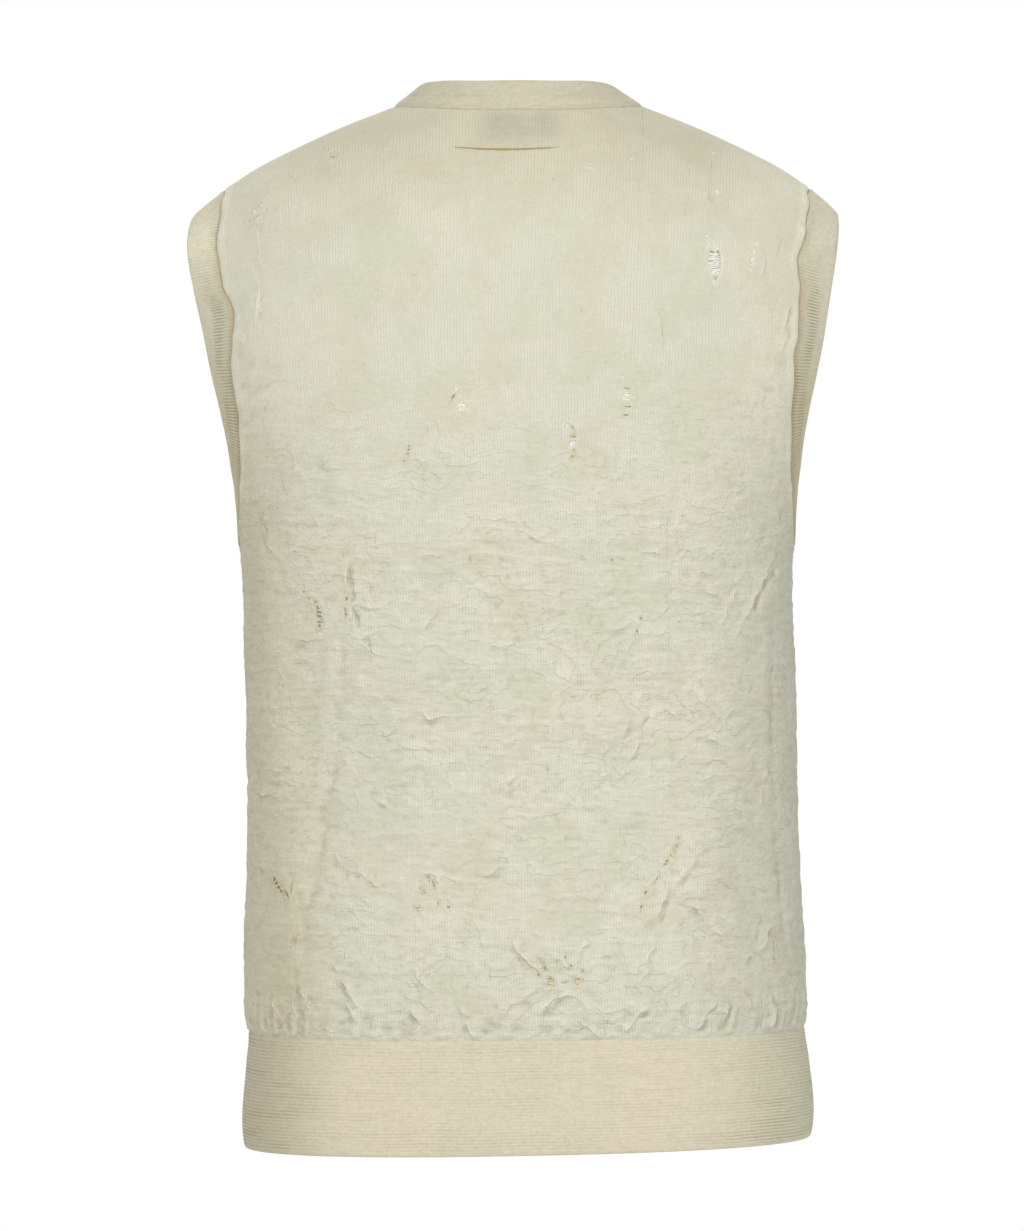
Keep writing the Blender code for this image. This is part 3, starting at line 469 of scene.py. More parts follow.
def beside_path(path, places):
    """Distance from each place to a path, the same with a sign, and how far along its nearest point lies.

    The sign is minus on the path's upper or left side, and the last is a share of the path's length.
    """
    run = np.diff(path, axis=0)
    length = np.linalg.norm(run, axis=1)
    offset = places[:, None] - path[None, :-1]
    t = np.clip((offset * run).sum(-1) / length**2, 0, 1)
    gap = offset - t[..., None] * run
    distance = np.linalg.norm(gap, axis=-1)
    best = distance.argmin(1)
    pick = np.arange(len(best))
    d, gap, t = distance[pick, best], gap[pick, best], t[pick, best]
    along = (np.concatenate([[0], np.cumsum(length)])[best] + t * length[best]) / length.sum()
    whole = path[-1] - path[0]
    turned = -np.sign(whole[0]) if abs(whole[0]) > 0.5 * abs(whole[1]) else np.sign(whole[1])
    return d, d * np.sign((run[best, 0] * gap[:, 1] - run[best, 1] * gap[:, 0]) * turned), along


def crease_height(creases, across, up):
    """Height in mm of all creases at each place, and distance to the strongest one there and its size.

    A crease of height h and width w rises slowly on its upper or left side, as exp(-(d/2w)^1.4), and drops
    steeply on the other, as exp(-(2d/w)^2), into a shallow trough. It wanders, swells and fades at each end.
    A wide one is exp(-(d/w)^2).
    """
    total, size, strongest = np.zeros((3, across.size))
    nearest = np.full(across.size, CREASE_SIDE)
    aside = 2.3 * crinkle(across, up, 8, 7, 91) + 1.3 * crinkle(across, up, 4, 4, 92)
    raised = 2.1 * crinkle(across, up, 7, 8, 93) + 1.3 * crinkle(across, up, 4, 4, 94)
    places = np.stack([(across + aside).ravel(), (up + raised).ravel()], axis=1)
    swell = np.clip(0.55 + 1.0 * crinkle(across, up, 7, 6, 95), 0, 1.3).ravel()
    for number, crease in enumerate(creases):
        path = rounded(crease.path)
        reach = 4.5 * crease.width
        near = np.flatnonzero(((places > path.min(0) - reach) & (places < path.max(0) + reach)).all(1))
        if not len(near):
            continue
        d, past, along = beside_path(path, places[near])
        fade = smoothstep(along / 0.25) * smoothstep((1 - along) / 0.25)
        fade = fade * (1 + 0.3 * np.sin(11 * along + 2.4 * number))
        share = past / (0.85 * crease.width)
        ridge = np.where(share < 0, np.exp(-((np.abs(share) / 2) ** 1.4)), np.exp(-((2 * share) ** 2)))
        ridge = ridge - 0.3 * np.exp(-(((share - 1.3) / 0.7) ** 2))
        narrow = crease.width < WIDE_CREASE
        ridge = ridge if narrow else np.exp(-(share**2))
        tall = crease.height * fade * (swell[near] if narrow else 0.85)
        total[near] += tall * ridge
        strength = np.abs(tall) * np.exp(-((d / 3) ** 2))
        stronger = strength > strongest[near]
        here = near[stronger]
        strongest[here] = strength[stronger]
        nearest[here] = np.clip(past, -CREASE_SIDE, CREASE_SIDE)[stronger]
        size[here] = tall[stronger] * narrow
    return tuple(values.reshape(across.shape) for values in (total, nearest, size))


def crumple(across, up, wide, tall, steps, seed):
    """Small terraces from 0 to 1: soft unevenness climbs, and drops back at each whole step.

    The places are first pushed about, so that the drops wander.
    """
    push = 0.45 * crinkle(across, up, wide * 0.6, tall * 0.6, seed + 1)
    pull = 0.45 * crinkle(across, up, wide * 0.6, tall * 0.6, seed + 2)
    climb = crinkle(across + push * wide, up + pull * tall, wide, tall, seed) * steps
    part = climb - np.floor(climb)
    return np.minimum(part / 0.74, 1) * (1 - smoothstep((part - 0.74) / 0.26))


def fold_height(folds, x, z):
    """Height of the soft folds: a ridge exp(-(d/width)^2) across each, and a parabola that fades along it."""
    total = np.zeros_like(x)
    for fold in folds:
        lean = math.radians(fold.tilt)
        along = (x - fold.x) * math.sin(lean) + (z - fold.z) * math.cos(lean)
        beside = (x - fold.x) * math.cos(lean) - (z - fold.z) * math.sin(lean)
        fade = np.clip(1 - (2 * along / fold.length) ** 2, 0, 1)
        total = total + fold.height * np.exp(-((beside / fold.width) ** 2)) * fade
    return total


def soft_height(folds, across, up, x, z):
    """How far the whole wall moves out: its soft folds, and broad and middling unevenness."""
    broad, middling = crinkle(across, up, 62, 80, 11), crinkle(across, up, 27, 33, 12)
    return fold_height(folds, x, z) + 0.0009 * broad + 0.0006 * middling


# Tears: whether one goes through, or only thins the cloth to a tan or pale web; mm across
# and level of the middle, half width, half height, degrees from upright, yarns left across, and loose ends.
BACK_TEARS = table("kind across level half_width half_height tilt yarns ends", (
    ("through", -107, -104, 3.6, 7.8, 8, 15, 8),
    ("pale", -105, -93, 0.9, 1.3, 10, 0, 2),
    ("pale", -101, -88, 0.7, 1.0, 10, 0, 2),
    ("pale", -131, -92, 0.8, 1.2, -10, 0, 2),
    ("pale", -130, -97, 0.7, 1.2, -10, 0, 1),
    ("pale", -129, -102, 0.9, 1.9, 0, 1, 2),
    ("pale", -129, -107, 0.9, 1.4, -10, 0, 2),
    ("through", 29, -188, 2.3, 3.0, 0, 1, 5),
    ("pale", 31, -178, 1.1, 1.1, 0, 0, 3),
    ("tan", 33, -182, 0.5, 2.0, -35, 0, 0),
    ("through", -61, -182, 2.7, 3.0, 0, 2, 5),
    ("tan", -61, -177, 2.0, 0.4, 0, 0, 2),
    ("pale", -58, -170, 1.2, 1.3, 0, 0, 3),
    ("tan", -62, -188, 1.9, 0.4, 0, 0, 0),
    ("tan", -61, -193, 1.6, 0.4, 0, 0, 0),
    ("pale", -29, -199, 1.4, 1.5, 0, 0, 3),
    ("tan", -32, -201, 0.5, 1.6, 30, 0, 0),
    ("tan", -32, -206, 1.5, 0.6, 0, 0, 1),
    ("pale", -32, -210, 1.5, 1.9, 0, 0, 3),
    ("tan", -32, -218, 0.7, 1.0, 0, 0, 1),
    ("tan", -33, -214, 0.5, 0.9, 0, 0, 1),
    ("through", 124, -313, 2.3, 6.4, 4, 5, 8),
    ("tan", 134, -298, 1.0, 0.8, 0, 0, 1),
    ("tan", 130, -302, 1.0, 0.7, 0, 0, 1),
    ("tan", 126, -304, 1.5, 0.9, 0, 0, 2),
    ("tan", 125, -321, 1.5, 0.7, 0, 0, 2),
    ("tan", 106, -310, 0.9, 2.6, 0, 1, 3),
    ("tan", 105, -302, 0.7, 1.6, 0, 0, 2),
    ("through", 158, -474, 2.1, 5.8, 42, 3, 6),
    ("tan", 149, -479, 0.7, 3.4, 38, 3, 2),
    ("tan", 145, -475, 0.4, 4.0, -6, 3, 0),
    ("tan", 144, -482, 0.5, 1.2, 0, 0, 0),
    ("tan", -94, -446, 0.7, 0.9, 0, 0, 1),
    ("tan", -93, -450, 1.0, 1.2, -10, 0, 2),
    ("tan", -91, -453, 0.8, 1.0, 0, 0, 1),
    ("tan", -89, -456, 0.7, 1.0, 0, 0, 1),
    ("tan", -86, -460, 0.8, 2.0, -28, 1, 2),
    ("tan", -79, -471, 0.6, 2.2, -40, 1, 0),
    ("tan", -73, -478, 0.9, 1.2, 0, 0, 2),
    ("tan", -70, -487, 0.7, 2.0, -10, 1, 1),
    ("tan", -15, -530, 1.9, 1.9, 10, 2, 3),
    ("tan", -31, -530, 1.9, 2.1, -10, 2, 3),
    ("tan", -12, -522, 0.8, 1.2, 40, 0, 2),
    ("tan", -27, -521, 0.8, 1.0, 0, 0, 2),
    ("tan", -19, -519, 0.7, 0.9, 0, 0, 2),
    ("tan", -24, -516, 0.7, 0.9, 0, 0, 2),
    ("tan", -34, -524, 0.7, 0.9, 0, 0, 2),
    ("tan", -8, -526, 0.7, 1.0, 0, 0, 1),
    ("tan", 57, -469, 0.9, 1.9, 20, 1, 2),
    ("tan", 54, -472, 0.6, 2.0, 28, 1, 1),
    ("tan", 60, -477, 1.4, 1.2, 0, 1, 2),
    ("tan", 63, -487, 1.5, 1.3, 0, 1, 2),
    ("tan", 51, -484, 0.6, 1.2, 0, 0, 1),
    ("tan", 45, -486, 0.8, 0.7, 0, 0, 1),
    ("tan", 62, -475, 0.6, 0.8, 0, 0, 0),
    ("tan", -160, -516, 0.7, 7.2, -3, 5, 1),
    ("tan", -163, -508, 0.6, 1.6, -20, 1, 1),
    ("tan", 60, -214, 0.6, 3.0, -8, 2, 1),
    ("tan", 63, -221, 0.6, 1.2, 0, 0, 1),
    ("pale", -105, -59, 0.8, 1.3, 10, 0, 2),
    ("tan", 97, -30, 1.9, 0.5, 0, 0, 1),
    ("pale", 99, -21, 0.6, 1.4, -30, 0, 2),
    ("pale", -59, -39, 0.7, 1.1, 0, 0, 2),
    ("pale", -38, -47, 0.7, 1.0, 30, 0, 2),
    ("pale", -103, -22, 0.8, 1.2, 0, 0, 2),
    ("pale", 140, -61, 0.8, 1.2, 20, 0, 2),
    ("pale", 143, -68, 0.7, 1.4, 20, 0, 2),
    ("pale", 139, -75, 0.7, 1.0, 0, 0, 2),
    ("pale", 145, -79, 0.6, 1.1, 0, 0, 2),
    ("pale", 136, -54, 0.7, 1.0, 0, 0, 1),
    ("tan", 179, 11, 0.9, 0.5, 0, 0, 0),
    ("tan", -57, -279, 0.6, 0.9, 0, 0, 1),
    ("tan", -71, -322, 0.8, 1.6, -20, 1, 2),
    ("tan", -74, -314, 0.6, 1.0, 0, 0, 1),
    ("tan", -15, -404, 0.5, 0.8, 0, 0, 1),
    ("tan", -194, -431, 0.5, 1.3, 0, 0, 1),
    ("tan", 28, -279, 0.5, 0.8, 0, 0, 0),
))


def tear_radius(tear, turn):
    """How a tear's radius wavers about its ellipse's, all the way round."""
    return 1 + 0.10 * np.sin(3 * turn + tear.across) + 0.07 * np.sin(5 * turn + tear.level)


def from_tear(tear, beside, along):
    """Cloth places at mm beside and along a tear's middle, in its own leaning directions."""
    lean = math.radians(tear.tilt)
    across = tear.across + beside * math.cos(lean) + along * math.sin(lean)
    return across, tear.level - beside * math.sin(lean) + along * math.cos(lean)


def tear_reach(tear, across, up):
    """How far out each place lies from a tear's middle: 1 on its edge, a wavering ellipse."""
    lean = math.radians(tear.tilt)
    along = (across - tear.across) * math.sin(lean) + (up - tear.level) * math.cos(lean)
    beside = (across - tear.across) * math.cos(lean) - (up - tear.level) * math.sin(lean)
    a, b = beside / tear.half_width, along / tear.half_height
    return np.hypot(a, b) / tear_radius(tear, np.arctan2(b, a))


def puckered(tears, across, up):
    """Height in mm round the tears: cloth draws up in a low ring beside each, and thins at its edge."""
    total = np.zeros_like(across)
    for tear in tears:
        size = math.sqrt(tear.half_width * tear.half_height)
        d = (tear_reach(tear, across, up) - 1) * size
        total += min(0.5, 0.2 * size) * np.exp(-(((d - 1.8) / 1.5) ** 2)) - 0.3 * np.exp(-((d / 0.8) ** 2))
    return np.maximum(total, -0.35)


CHEST = -240  # level in mm: above it there are few creases, and tears are pale


def is_pale(tear):
    """Whether a tear is edged with pale yarn, as those of the upper back are, or with tan."""
    return tear.kind == "pale" or (tear.kind == "through" and tear.level > CHEST)


def torn_shade(tears, across, up):
    """1 beside tan tears and -1 beside pale ones, fading over 2 mm."""
    total = np.zeros_like(across)
    for tear in tears:
        size = math.sqrt(tear.half_width * tear.half_height)
        d = np.maximum(tear_reach(tear, across, up) - 1, 0) * size
        tone = -0.8 if is_pale(tear) else 1.0
        total += tone * np.exp(-((d / 2.0) ** 2)) * min(1, 0.4 + 0.3 * size)
    return np.clip(total, -1, 1)


def gather_height(across, up):
    """Small slanting folds above the hem seam, in mm: wavering waves, denser towards the sides."""
    wander = 1.5 * crinkle(across, up, 55, 400, 21) + 0.8 * crinkle(across, up, 18, 60, 22)
    wave = np.cos(2 * math.pi * (across + 0.35 * up) / 15.5 + 2.2 * wander)
    dense = np.cos(2 * math.pi * (across + 0.2 * up) / 8.5 + 1.6 * wander)
    to_side = smoothstep((np.abs(across) - 95) / 45)
    wave = wave * (1 - 0.3 * to_side) + 0.75 * to_side * dense
    size = 0.75 + 0.45 * crinkle(across, up, 24, 400, 23)
    tall = (up - HEM_SEAM * 1000) / (30 + 12 * crinkle(across, up, 19, 500, 24))
    return 1.25 * size * np.maximum(wave, -0.3) * smoothstep(tall / 0.12) * (1 - smoothstep(tall))


def shrunk_height(across, up):
    """Fine unevenness in mm, faint above the chest: soft dents, and terraces that come and go in patches."""
    beside_arms = smoothstep((np.abs(across) - 80) / 60)
    border = -185 + 90 * beside_arms + 25 * crinkle(across, up, 60, 60, 31)
    quiet = 0.18 + 0.82 * smoothstep((border - up) / 90)
    fine = 0.34 * crinkle(across, up, 13, 3.4, 32) + 0.24 * crinkle(across, up, 7, 5.5, 33)
    patchy = smoothstep(0.55 + 0.9 * crinkle(across, up, 31, 26, 39))
    fine = fine + 0.62 * patchy * crumple(across, up, 26, 19, 1.7, 71)
    fine = fine + 0.38 * (1.2 - patchy) * crumple(across, up, 13, 9, 1.4, 81) - 0.2
    return quiet * fine


HALF_ACROSS = 165  # mm from the centre line to the armhole, about
COLUMN_TALL = 562  # mm from the hem seam to the shoulder, about


def raised_height(folded, tears, across, up, u, rise):
    """How far the outer face stands beyond the plain wall, in metres.

    The sum of creases, fine unevenness, folds at the hem seam, drawn-up tears, and rolled or sunk edges.
    """
    height = folded + shrunk_height(across, up) + gather_height(across, up)
    to_side = (1 - np.abs(u)) * HALF_ACROSS
    to_top = (1 - rise) * COLUMN_TALL
    to_hem = up - HEM_SEAM * 1000
    height = height * smoothstep(to_side / 5) * smoothstep(to_top / 6) * smoothstep(to_hem / 3)
    height = height + puckered(tears, across, up)
    armhole = smoothstep((up - UNDERARM * 1000) / 14)
    waver = 1.1 + 1.1 * crinkle(across, up, 400, 13, 36) + 0.35 * crinkle(across, up, 400, 4.5, 37)
    armhole = armhole * (1 - 0.8 * smoothstep((up - SHOULDER_LEVEL * 1000 + 24) / 20))
    height = height + armhole * np.maximum(waver, 0.1) * 1.15 * np.exp(-(((to_side - 1.6) / 2.6) ** 2))
    height = height - (1 - armhole) * 0.7 * np.exp(-((to_side / 1.3) ** 2))
    at_neck = smoothstep((NECK_COLUMN - np.abs(u)) / 0.03)
    height = height + at_neck * 0.5 * np.exp(-(((to_top - 2.6) / 1.8) ** 2))
    height = height - (1 - at_neck) * 0.5 * np.exp(-((to_top / 1.5) ** 2))
    waver = 0.8 + 0.5 * crinkle(across, up, 7, 400, 38)
    height = height + waver * 0.7 * np.exp(-(((to_hem - 2.6) / 2.4) ** 2))
    return np.maximum(height, -1.35) / 1000


def sunk(height):
    """How deep each place of a height grid lies below those round it, in mm: its wide blur, less itself."""
    blurred = height.copy()
    for _ in range(7):
        for axis in (0, 1):
            wide = np.pad(blurred, [(1, 1) if k == axis else (0, 0) for k in (0, 1)], mode="edge")
            count = blurred.shape[axis]
            one, two, three = (np.take(wide, np.arange(count) + k, axis=axis) for k in range(3))
            blurred = (one + 2 * two + three) / 4
    return (blurred - height) * 1000


def overhang(level, u, across, up):
    """How far in mm the outer face hangs out past an armhole's edge: a wavering lip, fading within 3 mm."""
    armhole = smoothstep((level - UNDERARM) / 0.016) * np.exp(-(((1 - np.abs(u)) * HALF_ACROSS / 3.0) ** 2))
    armhole = armhole * (1 - 0.85 * smoothstep((level - SHOULDER_LEVEL + 0.022) / 0.018))
    over = 1.1 + 1.2 * crinkle(across, up, 400, 12, 40) + 0.5 * crinkle(across, up, 400, 4.5, 45)
    return np.maximum(over, 0) * armhole


def panel_surface(side, folds, creases, tears):
    """The panel's inner face, plain outer face, puckered outer face, cloth places in mm, and its marks."""
    angle, level, share, u, rise = panel_places(side)
    base = body_point(angle, level)
    normal = body_normal(angle, level)
    normal[0, :, 2] = 0
    normal[:, [0, -1], 1] *= level[:, [0, -1]] > UNDERARM + 0.001
    shoulder = np.abs(u) >= NECK_COLUMN - 1e-9
    square = np.where(shoulder[None, :], smoothstep((1 - rise) / 0.012), 1)
    normal[..., 1] *= square
    base[-1, shoulder, 1] = RIDGE_DEPTH + side * SEAM_GAP / 2
    normal = unit(normal)
    across, up = (0.5 - share) * HALF_ROUND, level * 1000
    x, z = base[..., 0], base[..., 2]
    inside = smoothstep((1 - np.abs(u))[None, :] / 0.12) * smoothstep((1 - rise) / 0.08)
    soft = soft_height(folds, across, up, x, z) * inside * smoothstep((z - HEM_SEAM) / 0.02)
    base = base + normal * soft[..., None]
    folded, fold_gap, fold_size = crease_height(creases, across, up)
    raised = raised_height(folded, tears, across, up, u[None, :], rise)
    plain = base + normal * PANEL_WALL
    outward = unit(np.gradient(base, axis=1)) * -np.sign(u)[None, :, None]
    lip = overhang(level, u, across, up) / 1000
    outer = plain + normal * raised[..., None] + outward * lip[..., None]
    outer[0, :, 2] -= 2 * SEAM_GAP
    if side > 0:  # at the side and shoulder seams the back's edge reaches just past the front's
        joined_edge = np.zeros(level.shape, bool)
        joined_edge[:, [0, -1]] = level[:, [0, -1]] < UNDERARM - 0.001
        joined_edge[-1] = (np.abs(u) > NECK_COLUMN + 1e-6) & (np.abs(u) < 1)
        for skin in (base, plain, outer):
            skin[joined_edge, 1] -= 1.5 * SEAM_GAP
    marks = {"depth": sunk(raised + 0.5 * soft), "torn": torn_shade(tears, across, up)}
    marks |= {"fold_gap": fold_gap, "fold_size": fold_size}
    return base, plain, outer, np.stack([across, up], axis=-1), marks


def facing_out(points, faces):
    """The faces, all turned over if the volume they enclose comes out negative."""
    corners = [points[faces[:, k]] for k in range(3)]
    volume = np.einsum("ij,ij->i", corners[0], np.cross(corners[1], corners[2])).sum()
    return faces[:, ::-1] if volume < 0 else faces


def new_piece(name, points, faces, materials, places=None, marks=None):
    """A smooth mesh object from arrays of points and faces, with the cloth's places in metres as its UV map.

    A triangle among the faces repeats its last corner. Each mark is an attribute that the finish reads.
    """
    faces = facing_out(points, np.asarray(faces))
    trimmed = [tuple(dict.fromkeys(face)) for face in faces.tolist()]
    mesh = bpy.data.meshes.new(name)
    mesh.from_pydata(points.tolist(), [], trimmed)
    corners = np.empty(len(mesh.loops), np.int32)
    mesh.loops.foreach_get("vertex_index", corners)
    if places is not None:
        layer = mesh.uv_layers.new(name="cloth")
        layer.data.foreach_set("uv", (places[corners] / 1000).astype(np.float32).ravel())
    for mark, values in (marks or {}).items():
        attribute = mesh.attributes.new(mark, "FLOAT", "POINT")
        attribute.data.foreach_set("value", values.astype(np.float32).ravel())
    for material in materials:
        mesh.materials.append(material)
    mesh.shade_smooth()
    piece = bpy.data.objects.new(name, mesh)
    bpy.context.scene.collection.objects.link(piece)
    return piece


def sheet_faces(rows, columns, step):
    """Faces of a closed wall: fine cells outside, cells step times as large inside, and a rim between.

    Along the rim each inner point serves the fine points nearest to it, in a fan of triangles.
    """
    fine = np.arange(rows * columns).reshape(rows, columns)
    in_rows, in_columns = (rows - 1) // step + 1, (columns - 1) // step + 1
    plain = fine.size + np.arange(in_rows * in_columns).reshape(in_rows, in_columns)
    found = []
    for grid, turn in ((fine, 1), (plain, -1)):
        cells = np.stack([grid[:-1, :-1], grid[:-1, 1:], grid[1:, 1:], grid[1:, :-1]], axis=-1)
        found.append(cells.reshape(-1, 4)[:, ::turn])
    rims = [np.concatenate([g[0, :], g[1:, -1], g[-1, -2::-1], g[-2:0:-1, 0]]) for g in (fine, plain)]
    here, following = rims[1], np.roll(rims[1], -1)
    span = rims[0].reshape(-1, step)
    ends = np.concatenate([span, np.roll(rims[0], -step).reshape(-1, step)[:, :1]], axis=1)
    for k in range(step):
        to = here if k < step // 2 else following
        found.append(np.stack([ends[:, k + 1], ends[:, k], to, to], axis=1))
    found.append(np.stack([ends[:, step // 2], here, following, following], axis=1))
    return np.concatenate(found)


def panel_piece(name, surface):
    """A closed wall from a panel's surface: its puckered outer face and its plain inner one."""
    base, _, outer, places, marks = surface
    step = INSIDE_STEP
    points = np.concatenate([outer.reshape(-1, 3), base[::step, ::step].reshape(-1, 3)])
    both = np.concatenate([places.reshape(-1, 2), places[::step, ::step].reshape(-1, 2)])
    inner = len(points) - outer[..., 0].size
    marks = {mark: np.concatenate([values.ravel(), np.zeros(inner)]) for mark, values in marks.items()}
    return new_piece(name, points, sheet_faces(*outer.shape[:2], step), [body_wool], both, marks)


def cloth_place(across, up, out):
    """Points out metres beyond the back's inner face, at mm across and level in mm, with the normals."""
    angle = angle_at(0.5 - np.asarray(across, float) / HALF_ROUND)
    level = np.asarray(up, float) / 1000
    base, normal = body_point(angle, level), body_normal(angle, level)
    out = np.asarray(out) + soft_height(BACK_FOLDS, across, up, base[..., 0], base[..., 2])
    return base + normal * out[..., None], normal


TEAR_SIDES = 20
WEB_DEPTH = 0.00035  # how far below the cloth's face a worn web lies
CUT_BELOW, CUT_ABOVE = -0.006, 0.010  # how far a cutter reaches from the inner face


def tear_cutter(surface, tears):
    """Small prisms that stand square to the cloth, one for each tear, with its wavering outline.

    Those of worn webs stop just below the cloth's face, which is read off the surface's nearest place.
    """
    base, plain, outer, at = surface[:4]
    stand = ((outer - plain) * unit(plain - base)).sum(-1) + PANEL_WALL
    webs = {"through": 0, "tan": 1, "pale": 2}
    turn = np.linspace(0, 2 * math.pi, TEAR_SIDES, endpoint=False)
    k = np.arange(TEAR_SIDES)
    n = (k + 1) % TEAR_SIDES
    top = TEAR_SIDES + 1
    middle = np.full(TEAR_SIDES, TEAR_SIDES)
    walls, below = [k, n, n + top, k + top], [n, k, middle, middle]
    above = [k + top, n + top, middle + top, middle + top]
    prism = np.concatenate([np.stack(ring, axis=1) for ring in (walls, below, above)])
    points, faces = [], []
    for tear in tears:
        rough = np.random.default_rng(int(abs(tear.across) * 10)).uniform(-0.07, 0.07, TEAR_SIDES)
        size = tear_radius(tear, turn) + rough
        beside, along = tear.half_width * size * np.cos(turn), tear.half_height * size * np.sin(turn)
        across, up = from_tear(tear, beside, along)
        across, up = np.append(across, tear.across), np.append(up, tear.level)
        faces.append(prism + 2 * top * len(faces))
        nearest = np.abs(at - np.array([tear.across, tear.level])).sum(-1).argmin()
        floor = CUT_BELOW if tear.kind == "through" else stand.flat[nearest] - WEB_DEPTH
        points += [cloth_place(across, up, np.full(top, out))[0] for out in (floor, CUT_ABOVE)]
    materials = [body_wool, tan_web, pale_web]
    cutter = new_piece("tear_cutter", np.concatenate(points), np.concatenate(faces), materials)
    kinds = np.repeat([webs[tear.kind] for tear in tears], len(prism))
    cutter.data.polygons.foreach_set("material_index", kinds.astype(np.int32))
    return cutter


def cut_tears(panel, cutter):
    """Cuts the prisms out of the panel. The floors of worn webs keep the cutter's materials."""
    cut = panel.modifiers.new("tears", "BOOLEAN")
    cut.operation, cut.solver, cut.object, cut.material_mode = "DIFFERENCE", "EXACT", cutter, "TRANSFER"
    shown = panel.evaluated_get(bpy.context.evaluated_depsgraph_get())
    torn = bpy.data.meshes.new_from_object(shown)
    panel.modifiers.clear()
    panel.data = torn
    torn.set_sharp_from_angle(angle=math.radians(60))
    bpy.data.objects.remove(cutter)


def yarn_tubes(paths, thickness, sides=4):
    """Points and faces of tubes along many paths at once, each with its thickness, and with closed ends."""
    count, steps = paths.shape[:2]
    tangent = unit(np.gradient(paths, axis=1))
    aside = unit(np.cross(tangent, np.array([0.31, 0.17, 0.93])))  # a direction that no yarn takes
    other = np.cross(tangent, aside)
    turn = np.linspace(0, 2 * math.pi, sides, endpoint=False)
    round_it = aside[:, :, None] * np.cos(turn)[:, None] + other[:, :, None] * np.sin(turn)[:, None]
    taper = np.ones(steps)
    taper[[0, -1]] = 0.35
    points = paths[:, :, None] + round_it * (thickness[:, None] / 2 * taper)[:, :, None, None]
    index = np.arange(points[..., 0].size).reshape(count, steps, sides)
    here, beside = index, np.roll(index, -1, axis=2)
    walls = np.stack([here[:, :-1], beside[:, :-1], beside[:, 1:], here[:, 1:]], axis=-1).reshape(-1, 4)
    fans = []
    for end, turned in ((0, 1), (-1, -1)):
        a, b, c = index[:, end, 0], index[:, end, 1:-1], index[:, end, 2:]
        fan = np.stack([np.broadcast_to(a[:, None], b.shape), b, c, c], axis=-1).reshape(-1, 4)
        fans.append(fan[:, [0, 2, 1, 1]] if turned > 0 else fan)
    return points.reshape(-1, 3), np.concatenate([walls, *fans])


RUNG = 0.00075  # a bundle of yarn left across a tear
YARN = 0.00042


def torn_yarns(name, material, tears):
    """Yarns left across the tears, sagging a little and askew, and loose ends that curl out of the edge."""
    rng = np.random.default_rng(5)
    share = np.linspace(0, 1, 7)
    paths, thick = [], []
    for tear in tears:
        thick += [RUNG] * tear.yarns + [YARN] * tear.ends
        for k in range(tear.yarns):
            high = ((k + 0.5 + rng.uniform(-0.2, 0.2)) / tear.yarns * 2 - 1) * 0.86
            wide = tear.half_width * math.sqrt(1 - high**2) + 0.9
            beside = (share * 2 - 1) * wide
            along = tear.half_height * high - rng.uniform(0.2, 0.5) * wide * 0.5 * (1 - (2 * share - 1) ** 2)
            across, up = from_tear(tear, beside, along + rng.uniform(-0.25, 0.25) * beside)
            paths.append(cloth_place(across, up, 0.0011 + 0.0005 * np.sin(math.pi * share))[0])
        for k in range(tear.ends):
            turn = rng.uniform(0, 2 * math.pi)
            inward = rng.uniform(0.55, 0.9)
            curl = turn + rng.uniform(-0.9, 0.9) * share
            reach = 1.12 - (1.12 - inward) * np.sin(share * math.pi * rng.uniform(0.6, 1.0))
            beside, along = tear.half_width * reach * np.cos(curl), tear.half_height * reach * np.sin(curl)
            out = 0.0014 + rng.uniform(0.0002, 0.0011) * np.sin(math.pi * share)
            paths.append(cloth_place(*from_tear(tear, beside, along), out)[0])
    return new_piece(name, *yarn_tubes(np.stack(paths), np.array(thick)), [material])


def joined(piece, *others):
    """Melts other pieces' meshes into the first one."""
    with bpy.context.temp_override(active_object=piece, selected_editable_objects=[piece, *others]):
        bpy.ops.object.join()
    return piece


